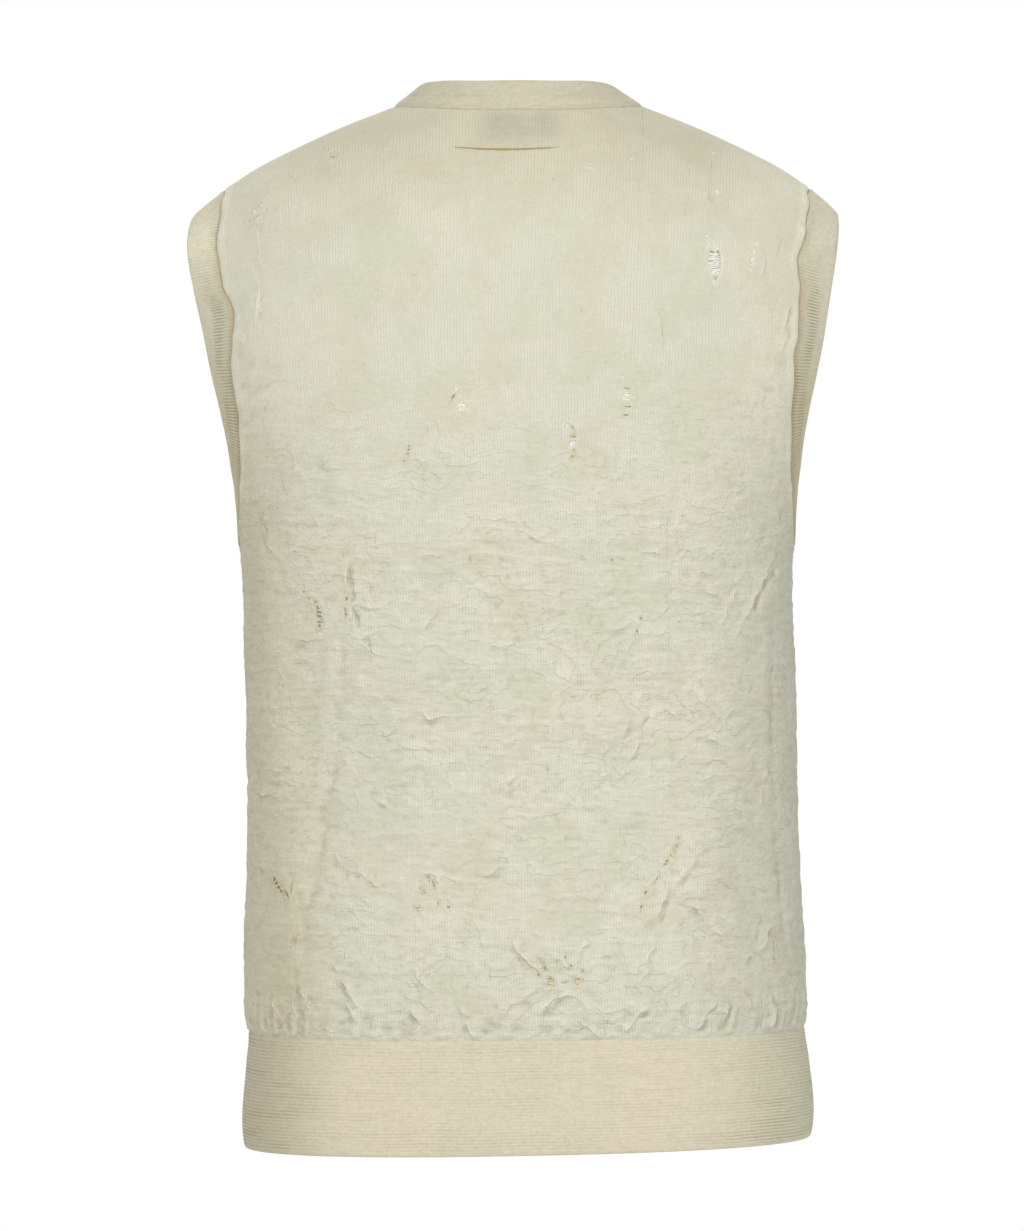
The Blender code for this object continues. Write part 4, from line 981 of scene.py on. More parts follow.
class Shade:
    """A socket of a material's tree. Arithmetic on it adds Math nodes, and node() adds any other kind."""

    def __init__(self, tree, socket=None):
        self.tree, self.socket = tree, socket

    def node(self, kind, settings=None, inputs=None, output=0):
        """Adds a node, with settings and with inputs as values or links, and gives one of its outputs."""
        made = self.tree.nodes.new("ShaderNode" + kind)
        for name, value in (settings or {}).items():
            setattr(made, name, value)
        for key, value in (inputs or {}).items():
            if isinstance(value, Shade):
                self.tree.links.new(value.socket, made.inputs[key])
            else:
                made.inputs[key].default_value = value
        return Shade(self.tree, made.outputs[output])

    def math(self, operation, *others):
        return self.node("Math", {"operation": operation}, dict(enumerate((self, *others))))

    def __add__(self, other):
        return self.math("ADD", other)

    __radd__ = __add__

    def __mul__(self, other):
        return self.math("MULTIPLY", other)

    __rmul__ = __mul__

    def __sub__(self, other):
        return self.math("SUBTRACT", other)

    def __rsub__(self, other):
        return self.node("Math", {"operation": "SUBTRACT"}, {0: other, 1: self})

    def clipped(self, low, high):
        """0 at low and 1 at high, smooth between them and level outside."""
        limits = {"Value": self, "From Min": low, "From Max": high}
        return self.node("MapRange", {"interpolation_type": "SMOOTHSTEP"}, limits)

    def mixed(self, first, second):
        """The first colour where this is 0, and the second where it is 1."""
        return self.node("Mix", {"data_type": "RGBA"}, {0: self, 6: first, 7: second}, output=2)

    def place(self, axis):
        """The object's own place along x, y or z, as axis is 0, 1 or 2."""
        return self.node("SeparateXYZ", {}, {0: self.node("TexCoord", output=3)}, output=axis)

    def cloth(self, axis):
        """The place across the cloth, as axis is 0, or up it, as axis is 1."""
        return self.node("SeparateXYZ", {}, {0: self.node("UVMap", {"uv_map": "cloth"})}, output=axis)

    def mark(self, name):
        """One of the values that the piece's mesh carries."""
        return self.node("Attribute", {"attribute_name": name}, output=2)

    def noise(self, scale, detail=2.0, stretch=(1, 1, 1)):
        """Seeded noise from 0 to 1 on the object's own places."""
        place = self.node("TexCoord", output=3)
        place = self.node("Mapping", {}, {"Vector": place, "Scale": stretch})
        return self.node("TexNoise", {}, {"Vector": place, "Scale": scale, "Detail": detail})


def linear(red, green, blue):
    """A colour as seen on screen, 0 to 255, as the light values that a shader takes."""
    seen = np.array([red, green, blue]) / 255
    return (*(((seen + 0.055) / 1.055) ** 2.4).tolist(), 1.0)


def woollen(name, colour_of, height_of):
    """A wool material: rough, with a faint sheen, and colour and height from two functions of its tree."""
    material = bpy.data.materials.new(name)
    material.use_nodes = True
    start = Shade(material.node_tree)
    shader = material.node_tree.nodes["Principled BSDF"]
    shader.inputs["Sheen Weight"].default_value = 0.12
    shader.inputs["Sheen Roughness"].default_value = 0.6
    shader.inputs["Specular IOR Level"].default_value = 0.25
    shader.inputs["Roughness"].default_value = 0.92
    stitch, height = height_of(start)
    material.node_tree.links.new(colour_of(start, stitch).socket, shader.inputs["Base Color"])
    raised = start.node("Bump", {}, {"Strength": 0.6, "Distance": 0.0004, "Height": height})
    material.node_tree.links.new(raised.socket, shader.inputs["Normal"])
    return material


WALE = 0.0017  # width of one column of stitches
COURSE = 0.0012


def stitches(start, wale=WALE, course=COURSE):
    """Height of plain knit, 0 to 1: each stitch is a V whose legs crest a quarter of its width in.

    The columns are told apart by deeper lines, and the rows by a wave that the slant of the legs carries up.
    """
    across, up = start.cloth(0), start.cloth(1)
    wander = start.noise(150, 1) * 0.0010 + start.noise(34, 1) * 0.0024
    column = ((across + wander) * (1 / wale)).math("FRACT")
    fold = (column - 0.5).math("ABSOLUTE")
    legs = 1 - (fold * 4 - 1).math("POWER", 2.0)
    rows = (up * (1 / course) + fold * 1.7) * (2 * math.pi)
    rows = rows.math("SINE") * 0.5 + 0.5
    return (legs * 0.45 + (1 - fold * 2) * 0.55) * (rows * 0.6 + 0.4)


def crests(noise, narrow):
    """Narrow lines, 1 along the noise's middle value and 0 beside it: they wander as the noise does."""
    return (1 - (noise - 0.5).math("ABSOLUTE") * narrow).math("MAXIMUM", 0.0)


def knit_height(start):
    """How light and how high each place is: stitches in patches, fuzz, and streaks of shrunken knit.

    Below the chest the cloth is full of flat puckers, wandering crests and terraces. Its lightness is a
    random
    grain with painted shade and highlight: darker between stitches, in low streaks and under each terrace's
    drop, and lighter on crests.
    """
    high = start.place(2)
    shrunk = 1 - high.clipped(-0.27, -0.13) * 0.78
    open_knit = start.noise(34, 3).clipped(0.40, 0.58)
    stitch = stitches(start) * (open_knit * 0.6 + 0.4)
    fuzz = start.noise(820, 2)
    streaks = start.noise(62, 3, (1, 1, 5))
    small = start.noise(190, 2, (1, 1, 2.2))
    crest = crests(start.noise(40, 4, (1, 1, 1.7)), 15) * start.noise(30, 1).clipped(0.40, 0.60)
    cross = crests(start.noise(75, 3, (1, 1, 2.6)), 11) * open_knit
    step = (start.noise(27, 4, (1, 1, 1.6)) * 9).math("FRACT")
    here = start.noise(22, 2).clipped(0.42, 0.56)
    drop = step.clipped(0.84, 0.96)
    terraces = (step * 1.15).math("MINIMUM", 1.0) * (1 - drop) * here
    creased = crest * 1.1 + cross * 0.8 + terraces * 1.5
    height = stitch + fuzz * 0.5 + shrunk * (streaks * 4.0 + small * 1.6 + creased)
    grain = start.noise(420, 2, (1, 1, 1.4)) - 0.5
    # painted shadow under each terrace's drop
    painted_step_shadow = here * shrunk * drop * (1 - step.clipped(0.97, 1.0)) * 0.05
    # painted shade in low streaks and puckers, and painted highlight on crests
    uneven = (streaks - 0.5) * 0.15 + (small - 0.5) * 0.14 + creased * 0.025
    # painted shade between stitches, with a random grain
    light = stitch * 0.28 + grain * 0.16 - painted_step_shadow + shrunk * uneven
    return with_folds(start, light, height)


def with_folds(start, light, height):
    """Adds the crisp edge of each crease: it rises for 2 mm and drops within 1, painted lighter on top and
    with a thin painted shadow below.
    """
    size = start.mark("fold_size")
    gap = start.mark("fold_gap") + (start.noise(190, 3) - 0.5) * 4.5
    edge = gap.clipped(-2.4, -0.1) * (1 - gap.clipped(-0.1, 0.7)) * size
    under = gap.clipped(0.0, 0.7) * (1 - gap.clipped(0.9, 2.4)) * size
    # painted highlight on the crest and painted shadow below it; the height dips there too
    return light + edge * 0.04 - under * 0.08, height + edge * 2.0 - under * 0.4


def shaded(start, colour, grey):
    """The colour times a painted grey of light and shade, whose green and blue fall faster than its red, as
    among fibres.
    """
    warm = start.node("CombineXYZ", {}, {0: grey, 1: grey.math("POWER", 1.05), 2: grey.math("POWER", 1.4)})
    times = {"data_type": "RGBA", "blend_type": "MULTIPLY"}
    return start.node("Mix", times, {0: 1.0, 6: colour, 7: warm}, output=2)


def body_colour(start, light):
    """Ecru in soft patches by broad noise, tanner at the shoulders and the tears, darker and yellower at the
    low sides and lighter at the high ones.

    Painted shade darkens it between stitches and in sunk places, and painted light lifts raised ones. Below
    the neckband a painted shadow of the label inside dims it, and the fold under the tuck is painted brown,
    for its shadow and its soiling.
    """
    high, wide = start.place(2), start.place(0).math("ABSOLUTE")
    patches = start.noise(24, 3).clipped(0.40, 0.62)
    colour = patches.mixed(linear(217, 217, 197), linear(219, 216, 196))
    worn = start.noise(42, 2, (1, 1, 0.7)).clipped(0.50, 0.78) * 0.28
    colour = worn.mixed(colour, linear(211, 211, 192))
    tanned = (high + start.noise(20, 2) * 0.06).clipped(-0.075, 0.012) * 0.9
    colour = tanned.mixed(colour, linear(208, 202, 176))
    # painted shade where the label inside the neck dims the thin cloth below the neckband
    painted_label_shadow = high.clipped(-0.034, -0.020) * (1 - high.clipped(-0.014, -0.004))
    painted_label_shadow = (1 - wide.clipped(0.013, 0.031)) * painted_label_shadow
    painted_label_shadow = painted_label_shadow * (start.noise(90, 2).clipped(0.3, 0.6) * 0.45 + 0.5)
    colour = painted_label_shadow.mixed(colour, linear(190, 187, 167))
    # darker and yellower towards the low sides, lighter at the high ones, not the same left and right
    side = start.place(0).clipped(-0.1, 0.1)
    low_side = side.mixed(linear(203, 201, 181), linear(205, 198, 169))
    high_side = side.mixed(linear(229, 225, 203), linear(222, 219, 199))
    wide = (wide + (1 - high.clipped(-0.50, -0.36)) * 0.018).clipped(0.10, 0.175)
    colour = (wide * 0.80).mixed(colour, high.clipped(-0.29, -0.15).mixed(low_side, high_side))
    torn = start.mark("torn")
    lace = start.noise(480, 2).clipped(0.40, 0.62)
    colour = (torn.clipped(0.05, 0.9) * (lace * 0.45 + 0.25)).mixed(colour, linear(205, 192, 150))
    colour = ((0 - torn).clipped(0.05, 0.9) * (lace * 0.7)).mixed(colour, linear(240, 238, 222))
    # painted shadow and soiling in the fold under the tuck
    colour = start.mark("fold_shadow_and_soil").clipped(0.2, 0.8).mixed(colour, linear(186, 163, 116))
    # painted shade in sunk places and painted light on raised ones
    deep = start.mark("depth")
    shade = 1 - deep.clipped(0.0, 0.8) * 0.20 + (0 - deep).clipped(0.0, 0.8) * 0.05
    nicks = start.noise(260, 1, (1, 1, 2)).clipped(0.72, 0.80) * 0.12
    # the knit's painted light and shade, less small dark nicks
    return shaded(start, colour, shade * (light + 0.90 - nicks))


body_wool = woollen("ecru_plain_knit", body_colour, knit_height)


def web(name, dark, light):
    """Thinned knit: a lace of fine yarn in two tones, with deep small gaps."""

    def thin(start):
        lace = start.noise(620, 2).clipped(0.36, 0.60)
        return lace, lace * 1.2

    return woollen(name, lambda start, lace: lace.mixed(dark, light), thin)


tan_web = web("tan_worn_web", linear(178, 162, 118), linear(214, 204, 164))
pale_web = web("pale_worn_web", linear(214, 212, 194), linear(252, 252, 246))


def yarn_wool(name, dark, light):
    """A yarn's wool: two tones and a bump by fine noise, as its fibres twist."""
    return woollen(
        name,
        lambda start, twist: twist.mixed(dark, light),
        lambda start: (start.noise(700, 2).clipped(0.3, 0.7), start.noise(1500, 2)),
    )


loose_wool = yarn_wool("loose_yarn", linear(226, 218, 188), linear(247, 244, 230))
pale_wool = yarn_wool("pale_loose_yarn", linear(244, 242, 232), linear(255, 255, 252))


def dressed(piece, node):
    """Lets a piece stand for its solid, and move with the garment."""
    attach(piece, "root")
    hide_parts(node)


back_surface = panel_surface(1, BACK_FOLDS, BACK_CREASES, BACK_TEARS)
back = panel_piece("back_panel_cloth", back_surface)
cut_tears(back, tear_cutter(back_surface, BACK_TEARS))
tan_yarns = torn_yarns("tan_yarns", loose_wool, [tear for tear in BACK_TEARS if not is_pale(tear)])
pale_yarns = torn_yarns("pale_yarns", pale_wool, [tear for tear in BACK_TEARS if is_pale(tear)])
back = joined(back, tan_yarns, pale_yarns)
dressed(back, "back_panel")

# ---------------------------------------------------------------- front panel
# The front is the same knit with a V neck, sewn to the back at the sides and shoulders.
# It has shrunk as the back has, so its creases are alike in size and number, in other places.

FRONT_FOLDS = table("x z length tilt width height", (
    (0.124, -0.400, 0.200, 8, 0.017, -0.0024),
    (0.142, -0.440, 0.230, 3, 0.015, 0.0020),
    (-0.126, -0.420, 0.220, -6, 0.017, -0.0024),
    (-0.145, -0.420, 0.200, -4, 0.015, 0.0020),
    (0.052, -0.420, 0.180, 10, 0.022, 0.0014),
    (-0.056, -0.400, 0.170, -9, 0.022, 0.0014),
    (0.146, -0.300, 0.090, 12, 0.013, 0.0022),
    (-0.146, -0.305, 0.090, -12, 0.013, 0.0022),
))
FRONT_MOVE = (9, -6)  # mm by which the front's creases differ from the back's mirrored ones


def mirrored(creases):
    """The back's creases below the chest turned left to right, and moved a little."""
    dx, dz = FRONT_MOVE
    low = [crease for crease in creases if crease.path[0][1] < CHEST]
    return [crease._replace(path=[(dx - x, z + dz) for x, z in crease.path]) for crease in low]


front_surface = panel_surface(-1, FRONT_FOLDS, mirrored(BACK_CREASES), ())
front = panel_piece("front_panel_cloth", front_surface)
dressed(front, "front_panel")

# ---------------------------------------------------------------- hem band
# The hem band is a tube of fine rib, knitted warmer in tone, with lines round it every 2 mm.
# It is sewn to the body's lower edge, which blouses over the seam, and its own lower edge is a soft roll.

LINE = 2.0  # mm from one line of the rib to the next
HEM_COLUMNS = 400
HEM_ROWS = 158
HEM_INSIDE_ROWS = 10
HEM_ROLL = 1.5  # mm of the lower edge that turn under


def ring_faces(rows, columns):
    """Faces of a closed ring: rows run round its section and columns all the way round the garment."""
    index = np.arange(rows * columns).reshape(rows, columns)
    right, above = np.roll(index, -1, axis=1), np.roll(index, -1, axis=0)
    return np.stack([index, right, np.roll(right, -1, axis=0), above], axis=-1).reshape(-1, 4)


def hem_surface():
    """The section goes down the outer face, round the lower edge in a half circle, and up the plain inside.

    The outer face stands out by the wall's thickness and a wave of 2 mm, which fades at seam and edge.
    """
    tall = (HEM_SEAM - SEAM_GAP - HEM_EDGE) * 1000
    down = np.linspace(0, tall - HEM_ROLL, HEM_ROWS)
    turn = np.linspace(0, math.pi, 9)[1:-1]
    inside = np.linspace(tall - HEM_ROLL, 0, HEM_INSIDE_ROWS)
    drop = np.concatenate([down, tall - HEM_ROLL + HEM_ROLL * np.sin(turn), inside])
    face = np.concatenate([np.ones(HEM_ROWS), 0.5 + 0.5 * np.cos(turn), np.zeros(HEM_INSIDE_ROWS)])
    shares = np.linspace(0, 2, HEM_COLUMNS + 1)[:-1]
    angle = np.where(shares < 1, angle_at(shares), -angle_at(2 - shares))
    level = HEM_SEAM - SEAM_GAP - drop[:, None] / 1000 + 0 * angle
    turned = np.broadcast_to(angle, level.shape)
    place, normal = body_point(turned, level), body_normal(turned, level)
    normal[..., 2] = 0
    along = np.broadcast_to((shares - 0.5) * HALF_ROUND, level.shape)
    below = np.broadcast_to(drop[:, None], level.shape)
    lift = 0.17 * np.cos(2 * math.pi * (below + 0.35 * crinkle(along, below, 30, 400, 41)) / LINE)
    to_side = smoothstep((np.abs(place[..., 0]) - 0.10) / 0.05)
    clear = np.maximum(0.45 + 0.55 * crinkle(along, below, 26, 3.1, 42), 0.05 + 0.45 * to_side)
    lift = lift * clear * (1 + to_side)
    lift = lift * smoothstep(below / 3) * smoothstep((tall - below) / 4)
    lift = lift + 0.35 * crinkle(along, below, 34, 40, 43) * smoothstep(below / 25)
    near_seam = (1 - smoothstep(below / 30)) * smoothstep(below / 3)
    lift = lift + 0.22 * crinkle(along, below, 11, 24, 44) * near_seam
    lift = (lift - 0.45 * (1 - smoothstep(below / 2.6))) * face[:, None] / 1000
    points = place + unit(normal) * (BAND_WALL * face[:, None] + lift)[..., None]
    return points, np.stack([along, -below], axis=-1), {"depth": sunk(lift)}


def ring_piece(name, material, points, places, marks):
    """A closed ring as one piece, from grids of its points, cloth places and marks."""
    faces = ring_faces(*points.shape[:2])
    return new_piece(name, points.reshape(-1, 3), faces, [material], places.reshape(-1, 2), marks)


def rib_height(start):
    """How light and how high each place of the rib is: stitches in patches, fuzz, and drawn-out grain."""
    stitch = stitches(start, 0.0011, 0.0010) * (start.noise(40, 3).clipped(0.40, 0.62) * 0.8 + 0.2)
    drawn = start.noise(150, 3, (1, 1, 3))
    grain = start.noise(500, 2)
    # painted shade between stitches and in the drawn grain's low places, with a random grain
    light = stitch * 0.12 + (drawn - 0.5) * 0.18 + (grain - 0.5) * 0.24
    return light, stitch * 0.6 + start.noise(900, 3) * 0.5 + drawn * 1.4


def rib_colour(start, light):
    """Warm ecru in soft patches, darker and yellower at the sides, tanner at the neck, and painted darker
    between the lines and in hollows, as shade.

    Along an armhole's seam runs a dashed brown line, as far out as the body's edge hangs over: stitches, and
    painted shadow under that edge. Beside it lies a wider painted shadow, stronger low down.
    """
    high, wide = start.place(2), start.place(0).math("ABSOLUTE")
    patches = start.noise(24, 3).clipped(0.38, 0.64)
    colour = patches.mixed(linear(221, 214, 189), linear(225, 215, 191))
    rubbed = start.noise(60, 3).clipped(0.5, 0.8) * 0.4
    colour = rubbed.mixed(colour, linear(214, 209, 186))
    # darker and yellower towards the sides, not the same left and right
    side = start.place(0).clipped(-0.1, 0.1)
    side = side.mixed(linear(209, 205, 180), linear(197, 190, 164))
    colour = (wide.clipped(0.10, 0.165) * 0.9).mixed(colour, side)
    arms = high.clipped(-0.20, -0.12).mixed(linear(210, 202, 171), linear(220, 215, 191))
    colour = high.clipped(-0.45, -0.30).mixed(colour, arms)
    colour = high.clipped(-0.02, 0.004).mixed(colour, linear(206, 200, 175))
    lip = start.mark("lip")
    beyond = start.cloth(1) * -1000 - lip * 0.8
    dashes = start.cloth(0) * (2000 * math.pi / 2.1)
    dashes = dashes.math("SINE").clipped(-0.3, 0.5) * 0.35 + 0.65
    low = 1 - high.clipped(-0.14, -0.07)
    at_arm = lip.clipped(0.0, 0.04)
    # painted shadow beside the seam, under the body's overhanging edge, stronger low down
    shadow = (1 - beyond.clipped(0.5, 8.0)) * at_arm * (low * 0.4 + 0.15)
    colour = shadow.mixed(colour, linear(176, 157, 118))
    # the seam's dashed stitches, with painted shadow just beyond the overhanging edge
    seam = (1 - beyond.clipped(0.4, 1.7)) * dashes * at_arm * 0.62
    colour = seam.mixed(colour, linear(156, 136, 94))
    # painted shade in the hollows between the rib's lines, stronger along the armholes low down
    shade = 1 - start.mark("depth").clipped(0.0, 0.25) * (at_arm * (low * 0.14 + 0.02) + 0.20)
    return shaded(start, colour, shade * (light + 0.94))


rib_wool = woollen("warm_ecru_rib", rib_colour, rib_height)
hem = ring_piece("hem_band_rib", rib_wool, *hem_surface())
dressed(hem, "hem_band")

# ---------------------------------------------------------------- armhole bands
# Each armhole is bound by a doubled strip of rib, folded at its free edge, with ribs across it every 2 mm.
# It is sewn under the body's rolled edge: it points out from the shoulder and lies on with the cloth below.

ARM_BAND_WIDTH = 0.0235
ARM_COLUMNS = 1500

# How far the bands lean outwards: at 0 a band goes on with the cloth, and at 1 it points straight out.
ARM_BAND_LEAN = table("height left right", (
    (-0.272, 0.03, 0.03),
    (-0.232, 0.16, 0.16),
    (-0.200, 0.26, 0.26),
    (-0.171, 0.38, 0.38),
    (-0.140, 0.55, 0.55),
    (-0.109, 0.80, 0.70),
    (-0.085, 0.96, 0.77),
    (-0.068, 0.90, 0.77),
    (-0.046, 0.70, 0.72),
))

# The section of a doubled band, in shares of its width: down the outer face, round the fold and back up.
OUTER_SHARES = [0, 0.025, 0.06, 0.11, 0.18, 0.27, 0.37, 0.48, 0.59, 0.70, 0.80, 0.88, 0.94, 0.975, 0.993]
INNER_SHARES = [1.0, 0.993, 0.97, 0.93, 0.85, 0.65, 0.4, 0.15, 0.0]
ROUND_END = 0.06  # share of the width in which the fold is rounded


def evenly(ring, count):
    """A closed ring's points spaced evenly along it, from its first point on."""
    closed = np.concatenate([ring, ring[:1]])
    along = lengths_along(closed)
    at = np.linspace(0, along[-1], count, endpoint=False)
    return sampled(closed, along, at), float(along[-1])


def doubled_band(foot, first, lean, facing, width, ribs, length):
    """Points, cloth places and depth of a doubled band round a seam.

    Each point is the foot plus its share of the width along lean, and out along facing by half the wall's
    thickness, more or less the same half times a round end. Near the seam facing turns to first, the cloth's
    own direction. The width is one number, or one for each foot.
    """
    shares = np.concatenate([OUTER_SHARES, INNER_SHARES])
    outside = np.concatenate([np.ones(len(OUTER_SHARES)), -np.ones(len(INNER_SHARES))])
    end = np.sqrt(1 - np.clip((shares - 1 + ROUND_END) / ROUND_END, 0, 1) ** 2)
    rise = smoothstep(shares / 0.3)[:, None, None]
    out = unit(first * (1 - rise) + facing * rise)
    shares, outside, end = shares[:, None], outside[:, None], end[:, None]
    along = np.linspace(0, length * 1000, len(foot), endpoint=False)
    along, across = np.broadcast_arrays(along, shares * width * 1000)
    lift = ribs(along, across) * (outside > 0) * end / 1000
    half = BAND_WALL / 2 * (1 - 0.34 * (1 - smoothstep(shares / 0.14)))
    points = foot + lean * (shares * width)[..., None] + out * (half * (1 + outside * end))[..., None]
    return points + out * lift[..., None], np.stack([along, -across], axis=-1), {"depth": sunk(lift)}


def cross_ribs(along, across):
    """Height in mm of ribs across the band, a wavering wave every 2 mm, and of a few soft dents."""
    wander = 0.5 * crinkle(along, across, 11, 30, 51)
    wave = np.cos(2 * math.pi * (along + wander) / LINE)
    fade = smoothstep(across / 2.5) * smoothstep((ARM_BAND_WIDTH * 1000 - across) / 2.5)
    ribs = (0.18 + 0.08 * crinkle(along, across, 17, 9, 52)) * wave * fade
    return ribs + 0.4 * crinkle(along, across, 26, 16, 53)


def armhole_lines(hand):
    """Four lines round an armhole, and its length. Hand is 1 on the left and -1 on the right.

    They are the cloth's inner edge, its plain and puckered outer edges, and the inner edge had the cloth not
    drawn in.
    """
    column = 0 if hand > 0 else -1
    edge = panel_edge_levels()[BODY_ROWS:]
    turned = edge_angle(edge, 1)
    true_edge = body_point(turned if hand > 0 else math.pi - turned, edge)
    true_edge[-1] = back_surface[0][-1, column]
    downs = [back_surface[face][BODY_ROWS:, column] for face in (0, 1, 2)] + [true_edge]
    ups = [front_surface[face][BODY_ROWS:, column] for face in (0, 1, 2, 0)]
    rings = [np.concatenate([down[::-1], up[1:-1]]) for down, up in zip(downs, ups)]
    lines, length = evenly(np.concatenate(rings, axis=1), ARM_COLUMNS)
    return [lines[:, k : k + 3] for k in (0, 3, 6, 9)], length


def arm_band(name, hand):
    """The band round one armhole: it leans outwards as its table says, and inwards by the rest."""
    (seam, face, edge, true), length = armhole_lines(hand)
    first = unit(face - seam)
    reach = 12  # points on each side that the tangent is taken over
    tangent = unit(np.roll(true, -reach, axis=0) - np.roll(true, reach, axis=0))
    away = unit(np.cross(tangent, first)) * hand
    inward = unit(np.stack([np.zeros(len(seam)), tangent[:, 2], -tangent[:, 1]], axis=1))
    outward = through(ARM_BAND_LEAN, "left" if hand > 0 else "right", true[:, 2])[:, None]
    lean = outward * np.array([1.0, 0.0, 0.0]) * hand + np.sqrt(1 - outward**2) * inward
    free_edge = true + away * CURVED_GAP + lean * ARM_BAND_WIDTH
    foot = seam + away * CURVED_GAP
    lean, width = unit(free_edge - foot), np.linalg.norm(free_edge - foot, axis=1)
    facing = unit(np.cross(lean, tangent)) * hand
    points, places, marks = doubled_band(foot, first, lean, facing, width, cross_ribs, length)
    lip = ((edge - face) * lean).sum(1) * 1000
    marks["lip"] = np.broadcast_to(np.maximum(lip, 0.05), marks["depth"].shape)
    piece = ring_piece(name + "_rib", rib_wool, points, places, marks)
    dressed(piece, name)


arm_band("armhole_band_left", 1)
arm_band("armhole_band_right", -1)

# ---------------------------------------------------------------- neckband
# The neckband is a doubled strip of rib that stands up at the back of the neck and lies down at the front.
# It is mitred at the point of the V. At the back a faint crease runs along its middle.

NECK_BAND_WIDTH = 0.0200
NECK_COLUMNS = 520  # round one half

# How far the band stands up: past is 0 at centre back and 1 at the shoulder seam.
NECK_BAND_STAND = table("past left right", (
    (0.00, 1.20, 1.20),
    (0.35, 1.00, 0.95),
    (0.60, 0.60, 0.42),
    (0.80, 0.28, 0.14),
    (1.00, 0.10, 0.05),
    (1.30, 0.03, 0.02),
    (1.60, 0.00, 0.00),
    (9.00, 0.00, 0.00),
))


def smoothed(directions, mirror, reach=20, rounds=3):
    """Directions along a half line, each averaged with those near it, and mirrored ones before its start."""
    for _ in range(rounds):
        directions = unit(directions)
        before, after = directions[reach:0:-1] * np.array(mirror), np.repeat(directions[-1:], reach, axis=0)
        padded = np.concatenate([before, directions, after])
        sums = np.cumsum(np.pad(padded, ((1, 0), (0, 0))), axis=0)
        directions = sums[2 * reach + 1 :] - sums[: -2 * reach - 1]
    return unit(directions)


def band_relief(along, across):
    """Height in mm of the neckband: faint upright ribs low down, one soft crease along it, and soft dents."""
    ribs = 0.05 * np.cos(2 * math.pi * (along + 0.3 * crinkle(along, across, 9, 30, 61)) / 1.6)
    crease = -0.28 * np.exp(-(((across - 10.5 - 0.8 * crinkle(along, across, 25, 90, 62)) / 0.9) ** 2))
    crease = crease * (0.55 + 0.45 * crinkle(along, across, 22, 90, 63))
    return ribs * (1 - smoothstep((across - 6) / 8)) + crease + 0.25 * crinkle(along, across, 21, 12, 64)


def neck_half(hand):
    """One half of the neckband, from centre back to the mitre at centre front."""
    middle = NECK_CELLS + EDGE_CELLS
    at_back = [middle - hand * k for k in range(NECK_CELLS + 1)]
    edges = []
    for face in (0, 1):
        down, up = back_surface[face][-1, at_back], front_surface[face][-1, at_back[::-1]]
        edges.append(np.concatenate([down, up[1:]]))
    along = lengths_along(edges[0])
    at = np.linspace(0, along[-1], NECK_COLUMNS)
    seam, face = (sampled(edge, along, at) for edge in edges)
    facing = smoothed(face - seam, (-1, 1, 1))
    tangent = smoothed(np.gradient(seam, axis=0), (1, -1, -1))
    away = unit(np.cross(tangent, facing)) * hand
    past = at / along[NECK_CELLS]
    stand = through(NECK_BAND_STAND, "left" if hand > 0 else "right", past, "past")
    lean = unit(away + 0.12 * facing + stand[:, None] * np.array([0.0, 0.0, 1.0]))
    out = unit(np.cross(lean, tangent)) * hand
    foot = seam + away * CURVED_GAP
    first = unit(face - seam)
    points, places, marks = doubled_band(foot, first, lean, out, NECK_BAND_WIDTH, band_relief, along[-1])
    return mitred(points, hand, past), places * np.array([hand, 1]), marks["depth"], float(along[-1])


def mitred(points, hand, past):
    """Each row of the half band drawn back along itself, so that it ends and closes on the centre line."""
    middle = SECTIONS[-1].shift
    shares = np.linspace(0, 1, points.shape[1])
    for k, row in enumerate(points):
        crossed = np.flatnonzero(((row[:, 0] - middle) * hand <= 0) & (past > 1))
        last = shares[crossed[0]] if len(crossed) else 1.0
        at = shares * (1 - (1 - last) * shares**3)
        points[k] = sampled(row, shares, at)
    points[:, [0, -1], 0] = middle
    return points


def neck_band():
    """Both halves as one ring, from centre back to the mitre and back again."""
    *left, length = neck_half(1)
    *right, _ = neck_half(-1)
    halves = zip(left, right)
    points, places, depth = (np.concatenate([one, other[:, -2:0:-1]], axis=1) for one, other in halves)
    piece = ring_piece("neck_band_rib", rib_wool, points, places, {"depth": depth})
    dressed(piece, "neck_band")
    round(2 * length, 3)


neck_band()

# ---------------------------------------------------------------- tuck below the neck
# A short pinch of the back's own cloth, sewn across it below the neckband.
# It is a soft lip that hangs over a narrow fold, painted dark for its shadow and its soiling.

TUCK_ENDS = (32.4, -22.8)  # mm across
TUCK_LEVEL = -33.4
TUCK_SAG = 2.3
TUCK_COLUMNS = 161
# Its section, in mm up and out from the wall's face, from the top down the lip and back inside.
# Dark is 1 in the fold, which is painted dark for its shadow and its soiling.
TUCK_SECTION = table("up out dark", (
    (1.8, 0.0, 0),
    (1.4, 0.7, 0),
    (0.9, 1.3, 0),
    (0.4, 1.7, 0),
    (-0.1, 1.8, 0),
    (-0.4, 1.6, 0),
    (-0.55, 1.2, 0.6),
    (-0.6, 0.8, 1),
    (-0.7, 0.45, 1),
    (-0.9, 0.38, 1),
    (-1.15, 0.35, 1),
    (-1.35, 0.25, 0.1),
    (-2.0, -0.3, 0),
    (0.0, -0.6, 0),
    (1.7, -0.4, 0),
))


